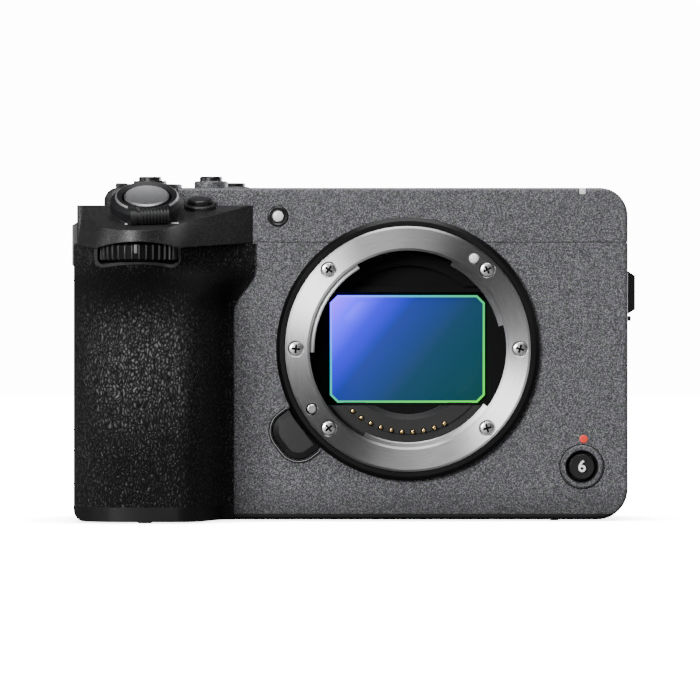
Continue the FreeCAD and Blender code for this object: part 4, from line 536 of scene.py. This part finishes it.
def makeMetal(name, colour, roughness, grain):
    material, tree, shader = newMaterial(name, colour, roughness, 1.0)
    low, high = noiseSpan
    speckle = useGroup(tree, speckleGroup, Grain=grain, Low=low, High=high)
    ends = [roughness + change for change in metalSheen]
    rough = addRange(tree, speckle.outputs["Mask"], 0.0, 1.0, *ends)
    tree.links.new(rough, shader.inputs["Roughness"])
    normal = addBump(tree, speckle.outputs["Height"], *metalBump)
    tree.links.new(normal, shader.inputs["Normal"])
    return material


sensorPlain = ((0.008, 0.015, 0.02), 0.12, 0.0, 0.04)
sensorReflections = {
    # painted reflection: colours from the upper left corner to the lower right one, their shares
    # across and down, glow
    "sensorFace": ([
        (0.0, (0.62, 0.02, 4.2)), (0.12, (0.13, 0.0, 3.4)), (0.24, (0.035, 0.015, 1.5)),
        (0.37, (0.026, 0.055, 0.43)), (0.62, (0.014, 0.064, 0.135)),
        (0.86, (0.006, 0.064, 0.088)), (1.0, (0.0, 0.063, 0.056))], 0.64, 0.36, 1.0),
    "sensorEdge": ([
        (0.03, (0.5, 0.2, 4.5)), (0.27, (0.05, 0.8, 1.3)), (0.44, (0.05, 0.95, 0.5)),
        (0.6, (0.07, 1.0, 0.24)), (0.95, (0.12, 1.5, 0.08))], 0.55, 0.45, 0.9),
}


def makeSensorFilter(name):
    # coated filter over the sensor, its reflected colours painted on as a glow
    stops, shareAcross, shareDown, glow = sensorReflections[name]
    material, tree, shader = newMaterial(name, *sensorPlain)
    spot = splitPlace(tree, objectPlace(tree))
    halfW, halfH = (half * mm for half in sensorHalf)
    across = addRange(tree, spot["X"], -halfW, halfW, 0.0, shareAcross)
    down = addRange(tree, spot["Z"], axisZ * mm + halfH, axisZ * mm - halfH, 0.0, shareDown)
    colour = addRamp(tree, addMath(tree, "ADD", across, down), stops)
    tree.links.new(colour, shader.inputs["Emission Color"])
    shader.inputs["Emission Strength"].default_value = glow
    return material


materials = {"gripLeather": makeLeather(), "mountSteel": makeMountSteel()}
for name in sensorReflections:
    materials[name] = makeSensorFilter(name)
for name in paints:
    materials[name] = makePaint(name)
for name, numbers in plastics.items():
    materials[name] = makePlastic(name, *numbers)
for name, numbers in metals.items():
    materials[name] = makeMetal(name, *numbers)
print("materials made:", len(materials))

# which finish each carried-over node takes
finishes = {
    "bodyPaint": ["front_cover", "top_cover", "rear_cover", "card_door"],
    "baseBlack": ["base_plate"],
    "gripPaint": ["grip_top_cover"],
    "blockBlack": ["contact_block"],
    "shellBlack": ["monitor_shell"],
    "satinBlack": ["monitor_hinge", "battery_door", "battery_door_latch", "battery_pack",
                   "memory_cards", "fan_impeller", "power_switch"],
    "bezelBlack": ["grip_core"],
    "leverBlack": ["zoom_lever"],
    "lugSteel": ["strap_lugs"],
    "glossBlack": ["front_dial", "rear_dial", "lens_release_button", "grip_button",
                   "front_record_button", "top_record_button", "top_button_rear",
                   "top_button_side", "control_wheel", "centre_button", "menu_button",
                   "fn_button", "playback_button", "delete_button"],
    "surroundBlack": ["mount_surround"],
    "rubberBlack": ["port_cover_upper", "port_cover_middle", "port_cover_lower", "joystick_cap"],
    "chamberBlack": ["shutter_frame", "sensor_holder", "inner_chassis"],
    "gripLeather": ["grip_leather"],
    "screwSteel": ["bayonet_ring", "mount_screws", "lens_lock_pin"],
    "insertSteel": ["thread_inserts"],
    "darkSteel": ["port_connectors", "accessory_shoe", "case_screws", "joystick_gimbal",
                  "shutter_blade_lead", "shutter_blade_middle", "shutter_blade_trail"],
    "castAlloy": ["stabiliser_carriage", "heat_sink"],
    "goldContact": ["contact_pins"],
    "buttonGrey": ["shutter_button"],
    "lampWhite": ["lamp_windows"],
    "boardGreen": ["main_board"],
    "screenGlass": ["monitor_screen"],
    "sensorFace": ["sensor_glass"],
}


def dressNodes():
    for material, names in finishes.items():
        for name in names:
            mesh = nodes[name].data
            mesh.materials.clear()
            mesh.materials.append(materials[material])


dressNodes()
print("carried-over nodes dressed")


# Tools shared by the modelled pieces

doubles = 0.000002       # metres, within which points are merged
same = 0.0000001         # metres, within which two coordinates are the same
smoothBelow = 32.0       # degrees between faces
bevelAbove = 30.0
squareOn = 0.95          # least share of a face's normal along an axis for it to face that way


def selectOnly(piece):
    selectNone()
    bpy.context.view_layer.objects.active = piece
    piece.select_set(True)


def asTurn(lean):
    # three angles in degrees as a rotation
    return Euler([math.radians(angle) for angle in lean])


def turnPiece(name, rings, at, lean=facingFront, sides=64, bored=False):
    # a filled circle, extruded and scaled ring by ring; rings are (radius, height) in mm,
    # height running along the lean's own Z from the place; a bored piece is open along its axis,
    # its last ring joined to its first
    selectNone()
    turn = asTurn(lean)
    along = turn.to_matrix() @ Vector((0, 0, 1))
    base = Vector(at) * mm
    bpy.ops.mesh.primitive_circle_add(vertices=sides, radius=rings[0][0] * mm, fill_type="NGON",
                                      location=base + along * rings[0][1] * mm, rotation=turn)
    piece = bpy.context.object
    piece.name = name
    bpy.ops.object.mode_set(mode="EDIT")
    bpy.ops.mesh.select_mode(type="FACE")
    bpy.ops.mesh.select_all(action="SELECT")
    for (oldR, oldH), (newR, newH) in zip(rings, rings[1:]):
        step = along * (newH - oldH) * mm
        bpy.ops.mesh.extrude_region_move(TRANSFORM_OT_translate={"value": step})
        grow = newR / oldR
        bpy.ops.transform.resize(value=(grow, grow, grow), center_override=base + along * newH * mm)
    if bored:
        selectFaces(piece, lambda face: len(face.verts) == sides)
        bpy.ops.mesh.delete(type="ONLY_FACE")
        bpy.ops.mesh.select_mode(type="EDGE")
        bpy.ops.mesh.select_all(action="DESELECT")
        bpy.ops.mesh.select_non_manifold()
        bpy.ops.mesh.bridge_edge_loops()
    tidyMesh()
    return piece


def selectFaces(piece, wanted):
    # in edit mode; wanted is a test on a face
    bpy.ops.mesh.select_mode(type="FACE")
    bpy.ops.mesh.select_all(action="DESELECT")
    mesh = bmesh.from_edit_mesh(piece.data)
    for face in mesh.faces:
        if wanted(face):
            face.select_set(True)
    bmesh.update_edit_mesh(piece.data)


def facesFront(face):
    return face.normal.y < -squareOn


def selectEdges(piece, wanted):
    # in edit mode; wanted is a test on the two ends of an edge
    bpy.ops.mesh.select_mode(type="EDGE")
    bpy.ops.mesh.select_all(action="DESELECT")
    mesh = bmesh.from_edit_mesh(piece.data)
    for edge in mesh.edges:
        if wanted(*(end.co for end in edge.verts)):
            edge.select_set(True)
    bmesh.update_edit_mesh(piece.data)


def tidyMesh():
    bpy.ops.mesh.select_all(action="SELECT")
    bpy.ops.mesh.remove_doubles(threshold=doubles)
    bpy.ops.mesh.normals_make_consistent(inside=False)
    bpy.ops.object.mode_set(mode="OBJECT")
    bpy.ops.object.transform_apply(location=True, rotation=True, scale=True)


def dropFaces(piece, unwanted):
    # takes faces away and closes the openings that they leave
    bpy.ops.object.mode_set(mode="EDIT")
    selectFaces(piece, unwanted)
    bpy.ops.mesh.delete(type="FACE")
    bpy.ops.mesh.select_all(action="SELECT")
    bpy.ops.mesh.fill_holes(sides=0)
    tidyMesh()


def joinPieces(name, pieces):
    selectNone()
    for piece in pieces:
        piece.select_set(True)
    bpy.context.view_layer.objects.active = pieces[0]
    bpy.ops.object.join()
    pieces[0].name = name
    return pieces[0]


def cutAway(piece, cutters):
    # drills or cuts the piece with solids that then go
    cutter = joinPieces("cutter", cutters) if len(cutters) > 1 else cutters[0]
    selectOnly(piece)
    cut = piece.modifiers.new("cut", "BOOLEAN")
    cut.operation = "DIFFERENCE"
    cut.solver = "EXACT"
    cut.object = cutter
    bpy.ops.object.modifier_apply(modifier=cut.name)
    bpy.data.objects.remove(cutter)


def addBlock(low, high):
    # a box between two corners in mm
    selectNone()
    middle = [(a + b) / 2 * mm for a, b in zip(low, high)]
    sides = [(b - a) * mm for a, b in zip(low, high)]
    bpy.ops.mesh.primitive_cube_add(size=1, location=middle, scale=sides)
    bpy.ops.object.transform_apply(location=True, rotation=True, scale=True)
    return bpy.context.object


def bevelAll(piece, width, segments):
    selectOnly(piece)
    edge = piece.modifiers.new("edge", "BEVEL")
    edge.width = width * mm
    edge.segments = segments
    edge.limit_method = "ANGLE"
    edge.angle_limit = math.radians(bevelAbove)
    bpy.ops.object.modifier_apply(modifier=edge.name)


def finish(piece, material, body, *replaced):
    # smooths and paints a piece and sets it on its body, in place of the CAD nodes named last
    selectOnly(piece)
    bpy.ops.object.shade_smooth_by_angle(angle=math.radians(smoothBelow))
    if material:
        piece.data.materials.clear()
        piece.data.materials.append(materials[material])
    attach(piece, body)
    if replaced:
        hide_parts(*replaced)


def copyTo(piece, name, move):
    twin = piece.copy()
    twin.data = piece.data.copy()
    twin.name = name
    twin.data.transform(move)
    bpy.context.scene.collection.objects.link(twin)
    return twin


def aroundMount(radius, angle):
    # a place on a circle about the optical axis, mm from it across and up
    turn = math.radians(angle)
    return radius * math.cos(turn), radius * math.sin(turn)


# Bayonet ring with its three tabs

bayonet = {
    # heights run forward from the body's middle
    "ringR": 28.75, "throatR": 23.05, "edge": 0.55, "chamfer": 0.5,
    "front": 22.0, "back": 20.0, "lip": 20.6, "seatR": 24.2,
    "hub": (24.1, 25.1, 19.2, 20.3),          # inner and outer radius, back and front
    "tabR": 21.9, "tabFootR": 24.4, "tabEdge": 0.3, "tabFront": 20.5, "tabBack": 19.2,
    "tabArcs": [(121.0, 182.0), (14.0, 63.0), (243.0, 324.0)],
    "screwAngles": [0.0, 45.0, 135.0, 180.0, 225.0, 315.0],
    "screwRingR": 26.23, "screwHoleR": 1.8, "screwSeat": 20.9,
    "pinAt": (26.5, 212.0), "pinHoleR": 1.35, "pinFloor": 19.0,
    "indexAt": (26.2, 53.9), "indexR": 1.18, "indexFloor": 20.5,
    "indexRings": [(1.13, 20.5), (1.13, 22.1), (1.02, 22.27), (0.8, 22.4), (0.45, 22.48),
                   (0.1, 22.5)],
    "sink": 0.16, "drillTop": 23.0,
    "mapTilt": 0.4, "mapLength": 0.06,        # of the map for the glints, its length in metres
}


def markAcross(piece):
    # a map whose first axis runs across the turning marks, for the glints
    layer = piece.data.uv_layers.new(name="acrossMarks")
    for face in piece.data.polygons:
        first = None
        for loop in face.loop_indices:
            spot = piece.data.vertices[piece.data.loops[loop].vertex_index].co
            up = spot.z - axisZ * mm
            angle = math.atan2(up, spot.x)
            if first is None:
                first = angle
            if angle - first > math.pi:
                angle -= 2 * math.pi
            if first - angle > math.pi:
                angle += 2 * math.pi
            out = math.hypot(spot.x, up) - bayonet["mapTilt"] * spot.y
            layer.data[loop].uv = (out / bayonet["mapLength"], angle / (2 * math.pi))


def makeBayonet():
    b = bayonet
    at = (0, 0, axisZ)
    flat = b["front"]
    outer, throat, seat = b["ringR"], b["throatR"], b["seatR"]
    ring = turnPiece("bayonetRing", [
        (outer, b["back"]), (outer, flat - b["chamfer"]), (outer - b["chamfer"], flat),
        (throat + b["edge"], flat), (throat, flat - b["edge"]), (throat, b["lip"]),
        (seat, b["lip"]), (seat, b["back"])], at, sides=256, bored=True)
    drills = []
    for angle in b["screwAngles"]:
        drills.append((*aroundMount(b["screwRingR"], angle), b["screwHoleR"], b["screwSeat"]))
    drills.append((*aroundMount(*b["pinAt"]), b["pinHoleR"], b["pinFloor"]))
    drills.append((*aroundMount(*b["indexAt"]), b["indexR"], b["indexFloor"]))
    cutters = []
    sink = b["sink"]
    for x, up, r, floor in drills:
        wide = r + 2 * sink
        rings = [(r, floor), (r, flat - sink), (wide, flat + sink), (wide, b["drillTop"])]
        cutters.append(turnPiece("drill", rings, (x, 0, axisZ + up), sides=40))
    cutAway(ring, cutters)
    inner, outer, back, front = b["hub"]
    hub = turnPiece("hub", [(outer, back), (outer, front), (inner, front), (inner, back)], at,
                    sides=128, bored=True)
    parts = [ring, hub]
    foot, tip, edge = b["tabFootR"], b["tabR"], b["tabEdge"]
    back, front = b["tabBack"], b["tabFront"]
    for low, high in b["tabArcs"]:
        tab = turnPiece("tab", [
            (foot, back), (foot, front), (tip + edge, front), (tip, front - edge), (tip, back)],
            at, sides=360, bored=True)

        def outside(face):
            spot = face.calc_center_median()
            angle = math.degrees(math.atan2(spot.z - axisZ * mm, spot.x)) % 360
            return not low < angle < high

        dropFaces(tab, outside)
        parts.append(tab)
    ring = joinPieces("bayonetRing", parts)
    markAcross(ring)
    finish(ring, "mountSteel", "camera_body", "bayonet_ring")


makeBayonet()
print("bayonet ring made")


# Cross-head screws, index dot and contact pins

mountScrew = {
    "rings": [(1.62, 20.9), (1.62, 21.55), (1.55, 21.7), (1.4, 21.78), (0.9, 21.86), (0.3, 21.9)],
    "crossLong": 1.0, "crossHalf": 0.24, "crossFloor": 21.3, "crossTop": 23.0,
    # what counts as inside the cross, whose walls and floor are painted black as shade
    "crossShadeReach": 1.06, "slack": 0.01, "wallTilt": 0.3,
    "turns": [18.0, 62.0, 35.0, 5.0, 50.0, 74.0],
}
contacts = {
    "ringR": 19.5, "first": 228.5, "pitch": 7.5, "count": 10,
    "rings": [(0.45, 13.4), (0.45, 17.92), (0.4, 18.08), (0.28, 18.17), (0.1, 18.2)],
}


def makeMountScrews():
    s = mountScrew
    head = turnPiece("mountScrewHead", s["rings"], (0, 0, axisZ), sides=48)
    long, half, floor, top = s["crossLong"], s["crossHalf"], -s["crossFloor"], -s["crossTop"]
    cutAway(head, [addBlock((-long, top, axisZ - half), (long, floor, axisZ + half))])
    cutAway(head, [addBlock((-half, top, axisZ - long), (half, floor, axisZ + long))])
    head.data.materials.append(materials["screwSteel"])
    head.data.materials.append(materials["chamberBlack"])
    # painted shade: the walls and floor of the cross take the near-black chamber finish
    for face in head.data.polygons:
        spot = face.center - Vector((0, 0, axisZ * mm))
        near = math.hypot(spot.x, spot.z) < s["crossShadeReach"] * long * mm
        inside = near and spot.y < (floor + s["slack"]) * mm
        wall = abs(face.normal.y) < s["wallTilt"]
        bottom = spot.y > (floor - s["slack"]) * mm
        face.material_index = 1 if inside and (wall or bottom) else 0
    centre = Vector((0, 0, axisZ)) * mm
    for index, angle in enumerate(bayonet["screwAngles"]):
        x, up = aroundMount(bayonet["screwRingR"], angle)
        spin = Matrix.Rotation(math.radians(s["turns"][index]), 4, "Y")
        there = Matrix.Translation(centre + Vector((x, 0, up)) * mm)
        move = there @ spin @ Matrix.Translation(-centre)
        screw = copyTo(head, "mountScrew" + str(index + 1), move)
        finish(screw, None, "camera_body", "mount_screws")
    bpy.data.objects.remove(head)


def makeIndexDot():
    x, up = aroundMount(*bayonet["indexAt"])
    dot = turnPiece("indexDot", bayonet["indexRings"], (x, 0, axisZ + up), sides=48)
    finish(dot, "lampWhite", "camera_body", "lamp_windows")


def makeContactPins():
    c = contacts
    pin = turnPiece("contactPinFirst", c["rings"], (0, 0, axisZ), sides=24)
    for index in range(c["count"]):
        x, up = aroundMount(c["ringR"], c["first"] + c["pitch"] * index)
        move = Matrix.Translation(Vector((x, 0, up)) * mm)
        twin = copyTo(pin, "contactPin" + str(index + 1), move)
        finish(twin, "goldContact", "contact_pins", "contact_pins")
    bpy.data.objects.remove(pin)


makeMountScrews()
makeIndexDot()
makeContactPins()
print("screws, index dot and contact pins made")


# Sensor filter with cut corners and a sloped edge, its reflections painted on as a glow that is
# brighter on the edge

sensorGlass = {"back": -5.4, "shoulder": -6.15, "corner": 1.8, "edge": 0.5, "slope": 0.22}


def makeSensorGlass():
    g = sensorGlass
    halfW, halfH = sensorHalf
    glass = addBlock((-halfW, g["shoulder"], axisZ - halfH), (halfW, g["back"], axisZ + halfH))
    glass.name = "sensorGlass"
    bpy.ops.object.mode_set(mode="EDIT")
    selectEdges(glass, lambda a, b: abs(a.x - b.x) < same and abs(a.z - b.z) < same)
    bpy.ops.mesh.bevel(offset=g["corner"] * mm, segments=1)
    selectFaces(glass, facesFront)
    bpy.ops.mesh.inset(thickness=g["edge"] * mm, depth=g["slope"] * mm)
    tidyMesh()
    finish(glass, "sensorEdge", "sensor_unit", "sensor_glass")
    glass.data.materials.append(materials["sensorFace"])
    for face in glass.data.polygons:
        if facesFront(face):
            face.material_index = 1


makeSensorGlass()
print("sensor filter made")


# Lamps and marks on the front

frontMarks = {
    "windowAt": (-30.4, 71.1),
    "windowRing": [(2.4, 17.7), (2.4, 19.0), (2.3, 19.2), (2.05, 19.3), (1.9, 19.2), (1.75, 19.15),
                   (1.6, 19.0), (1.45, 18.6), (1.42, 18.0)],
    "windowLens": [(1.35, 17.9), (1.32, 18.9), (1.2, 19.1), (0.9, 19.25), (0.5, 19.33),
                   (0.1, 19.36)],
    "tallyLow": (40.22, -18.98, 76.2), "tallyHigh": (41.78, -17.4, 77.78), "tallyEdge": 0.3,
    "recordAt": (40.8, 12.4),
    "wellRings": [(3.87, 18.03), (3.87, 19.3), (3.72, 19.3), (3.55, 18.5), (3.35, 18.12),
                  (3.15, 18.1)],
    "gapShadowRings": [(5.3, 18.9), (5.3, 19.03), (5.08, 19.03), (5.08, 18.9)],
    "dotAt": (41.2, 18.9), "recordDot": [(0.95, 18.95), (0.95, 19.02), (0.9, 19.05), (0.6, 19.06)],
    "numeral": "6", "numeralSize": 3.75, "numeralFront": -20.08, "numeralDepth": 0.05,
    "numeralBold": 0.06,
}


def makeLampWindows():
    m = frontMarks
    x, z = m["windowAt"]
    ring = turnPiece("lightWindowRing", m["windowRing"], (x, 0, z), sides=64, bored=True)
    finish(ring, "glossBlack", "camera_body", "lamp_windows")
    lens = turnPiece("lightWindowLens", m["windowLens"], (x, 0, z), sides=48)
    finish(lens, "lampWhite", "camera_body", "lamp_windows")
    tally = addBlock(m["tallyLow"], m["tallyHigh"])
    tally.name = "tallyLens"
    bevelAll(tally, m["tallyEdge"], 4)
    finish(tally, "lampWhite", "camera_body", "lamp_windows")


def makeRecordMarks():
    m = frontMarks
    x, z = m["recordAt"]
    well = turnPiece("recordWell", m["wellRings"], (x, 0, z), sides=72, bored=True)
    finish(well, "glossBlack", "camera_body")
    # painted shadow: a thin near-black ring laid on the surface where the gap round the record ring
    # falls in shade
    gapShadow = turnPiece("recordGapShadow", m["gapShadowRings"], (x, 0, z), sides=96, bored=True)
    finish(gapShadow, "chamberBlack", "camera_body")
    dotX, dotZ = m["dotAt"]
    dot = turnPiece("recordDot", m["recordDot"], (dotX, 0, dotZ), sides=48)
    finish(dot, "markRed", "camera_body")
    selectNone()
    bpy.ops.object.text_add(location=(x * mm, m["numeralFront"] * mm, z * mm),
                            rotation=asTurn(facingFront))
    numeral = bpy.context.object
    numeral.name = "recordNumeral"
    numeral.data.body = m["numeral"]
    numeral.data.size = m["numeralSize"] * mm
    numeral.data.offset = m["numeralBold"] * mm
    numeral.data.extrude = m["numeralDepth"] * mm
    numeral.data.align_x = "CENTER"
    numeral.data.align_y = "CENTER"
    bpy.ops.object.convert(target="MESH")
    bpy.ops.object.mode_set(mode="EDIT")
    tidyMesh()
    finish(numeral, "markWhite", "front_record_button")


makeLampWindows()
makeRecordMarks()
print("lamps and marks made")


# Ribbed dials and the face of the lens release

dial = {
    "sides": 96, "boreR": 1.6, "coreR": 8.72, "chamfer": 0.45, "height": 4.0,
    "ribCount": 34, "ribPhase": 0.839, "ribFoot": 8.5, "ribCrest": 9.2, "ribHalf": 0.22,
    "ribLow": 0.2, "ribEdge": 0.07, "crestShare": (1, 0.55, 0.86),
    "indexAngle": 268.3, "indexHalf": 0.38, "indexLow": 1.7, "indexHigh": 3.75, "indexR": 9.08,
    "indexEdge": 0.08,
    "front": ("frontDial", (-62.7, -37.8, 60.3), "front_dial"),
    "rear": ("rearDial", (-64.6, 20.6, 68.3), "rear_dial"),
}
release = {
    "angle": 217.5, "start": 31.15, "end": 37.9, "half": 5.95, "corner": 4.6,
    "faceIn": -1.62, "faceBack": -20.17, "faceFront": -20.24, "faceEdge": 0.3, "faceSlope": 0.03,
    # name, how far its outline and its hole lie outside the button's, its front, its material
    "strips": [("releaseRim", 0.52, 0.38, -19.33, "buttonGrey"),
               ("releaseLine", 0.84, 0.03, -19.28, "baseBlack")],
    "stripBack": -18.9, "holeBack": -18.5, "holeFront": -21.0, "holeBeyond": 1.0,
}


def makeDialRib():
    d = dial
    low, high = d["ribLow"], d["height"] - d["ribLow"]
    rib = addBlock((d["ribFoot"], -d["ribHalf"], low), (d["ribCrest"], d["ribHalf"], high))
    bpy.ops.object.mode_set(mode="EDIT")
    selectFaces(rib, lambda face: face.normal.x > squareOn)
    crest = Vector((d["ribCrest"], 0, d["height"] / 2)) * mm
    bpy.ops.transform.resize(value=d["crestShare"], center_override=crest)
    bpy.ops.mesh.bevel(offset=d["ribEdge"] * mm, segments=2)
    tidyMesh()
    return rib


def makeDial(kind):
    d = dial
    name, at, node = d[kind]
    h, r, c = d["height"], d["coreR"], d["chamfer"]
    core = turnPiece(name + "Core", [
        (d["boreR"], 0.0), (r - c, 0.0), (r, c), (r, h - c), (r - c, h), (d["boreR"], h)],
        at, lean=(0, 0, 0), sides=d["sides"], bored=True)
    # painted shade: the core takes the near-black chamber finish, so the grooves between the ribs
    # read dark
    finish(core, "chamberBlack", node, node)
    rib = makeDialRib()
    place = Matrix.Translation(Vector(at) * mm)
    ribs = []
    for index in range(d["ribCount"]):
        angle = 360.0 / d["ribCount"] * (index + d["ribPhase"])
        spin = Matrix.Rotation(math.radians(angle), 4, "Z")
        ribs.append(copyTo(rib, "dialRib", place @ spin))
    bpy.data.objects.remove(rib)
    # painted highlight: the ribs take a lighter black than the core, so they read bright
    finish(joinPieces(name + "Ribs", ribs), "ribHighlightBlack", node, node)


def makeDialIndex():
    # light bar in the groove that faces the front
    d = dial
    _, at, node = d["front"]
    turn = math.radians(d["indexAngle"])
    bar = addBlock((d["ribFoot"], -d["indexHalf"], d["indexLow"]),
                   (d["indexR"], d["indexHalf"], d["indexHigh"]))
    bevelAll(bar, d["indexEdge"], 2)
    bar.name = "dialIndex"
    bar.data.transform(Matrix.Translation(Vector(at) * mm) @ Matrix.Rotation(turn, 4, "Z"))
    finish(bar, "indexGrey", node)


def releaseOutline(name, grow, start, back, front):
    # square under the mount and round at its outer end; it lies along X until it is placed
    r = release
    half = r["half"] + grow
    end = r["end"] + grow
    plate = addBlock((start, front, -half), (end, back, half))
    plate.name = name
    middle = (start + end) / 2 * mm
    bpy.ops.object.mode_set(mode="EDIT")
    selectEdges(plate, lambda a, b: abs(a.y - b.y) > same and min(a.x, b.x) > middle)
    bpy.ops.mesh.bevel(offset=(r["corner"] + grow) * mm, segments=16)
    tidyMesh()
    return plate


def placeRelease(piece, material, body):
    turn = Matrix.Rotation(math.radians(-release["angle"]), 4, "Y")
    piece.data.transform(Matrix.Translation((0, 0, axisZ * mm)) @ turn)
    finish(piece, material, body)


def makeRelease():
    r = release
    plate = releaseOutline("releaseFace", r["faceIn"], r["start"], r["faceBack"], r["faceFront"])
    bpy.ops.object.mode_set(mode="EDIT")
    selectFaces(plate, facesFront)
    bpy.ops.mesh.inset(thickness=r["faceEdge"] * mm, depth=r["faceSlope"] * mm)
    tidyMesh()
    placeRelease(plate, "padGrey", "lens_release_button")
    holeStart = r["start"] - r["holeBeyond"]
    for name, outer, inner, front, material in r["strips"]:
        strip = releaseOutline(name, outer, r["start"], r["stripBack"], front)
        cutAway(strip, [releaseOutline("hole", inner, holeStart, r["holeBack"], r["holeFront"])])
        placeRelease(strip, material, "camera_body")


makeDial("front")
makeDial("rear")
makeDialIndex()
makeRelease()
print("dials and release face made")


# Bright rim of the zoom lever: a real chamfer, its light grey steel a painted highlight

leverRim = {
    "at": (-60.8, -33.0, 75.8), "lean": (28.0, 0.0, 0.0),
    "rings": [(7.42, -0.6), (7.42, -0.42), (7.3, -0.3), (7.12, -0.14), (6.98, -0.12), (6.98, -0.6)],
    "tabFrom": 233.0, "tabTo": 318.0,         # no rim here, where the finger tab stands
}


def makeLeverRim():
    r = leverRim
    rim = turnPiece("leverRim", r["rings"], r["at"], lean=r["lean"], sides=180, bored=True)
    base = Vector(r["at"]) * mm
    back = asTurn(r["lean"]).to_matrix().inverted()

    def underTab(face):
        spot = back @ (face.calc_center_median() - base)
        return r["tabFrom"] < math.degrees(math.atan2(spot.y, spot.x)) % 360 < r["tabTo"]

    dropFaces(rim, underTab)
    # painted highlight: light grey steel on the black lever's chamfer
    finish(rim, "rimHighlightSteel", "zoom_lever")


# two small marks on the grip top beside the lever, one peak and three
leverMarks = {
    "aims": [("onePeakMark", -65.2, 68.8, 1), ("threePeaksMark", -53.9, 69.0, 3)],
    "aimY": -45.0, "peakR": 0.36, "stretch": 1.9, "pitch": 0.55, "thick": 0.1, "sunk": 0.04,
}


def makeLeverMarks():
    # each lies on the cover where the eye meets it
    m = leverMarks
    bpy.context.view_layer.update()
    eye = bpy.context.scene.camera.location
    for name, x, z, count in m["aims"]:
        way = Vector((x, m["aimY"], z)) * mm - eye
        _, spot, normal, _ = nodes["grip_top_cover"].ray_cast(eye, way)
        turn = normal.to_track_quat("Z", "Y")
        peaks = []
        for index in range(count):
            across = (index - (count - 1) / 2) * m["pitch"]
            step = turn @ Vector((across, 0, m["thick"] / 2 - m["sunk"])) * mm
            selectNone()
            bpy.ops.mesh.primitive_cylinder_add(
                vertices=3, radius=m["peakR"] * mm, depth=m["thick"] * mm, location=spot + step,
                rotation=turn.to_euler(), scale=(1, m["stretch"], 1))
            bpy.ops.object.transform_apply(location=True, rotation=True, scale=True)
            peaks.append(bpy.context.object)
        mark = joinPieces(name, peaks) if count > 1 else peaks[0]
        mark.name = name
        finish(mark, "markWhite", "camera_body")


makeLeverRim()
makeLeverMarks()
print("lever rim and marks made")
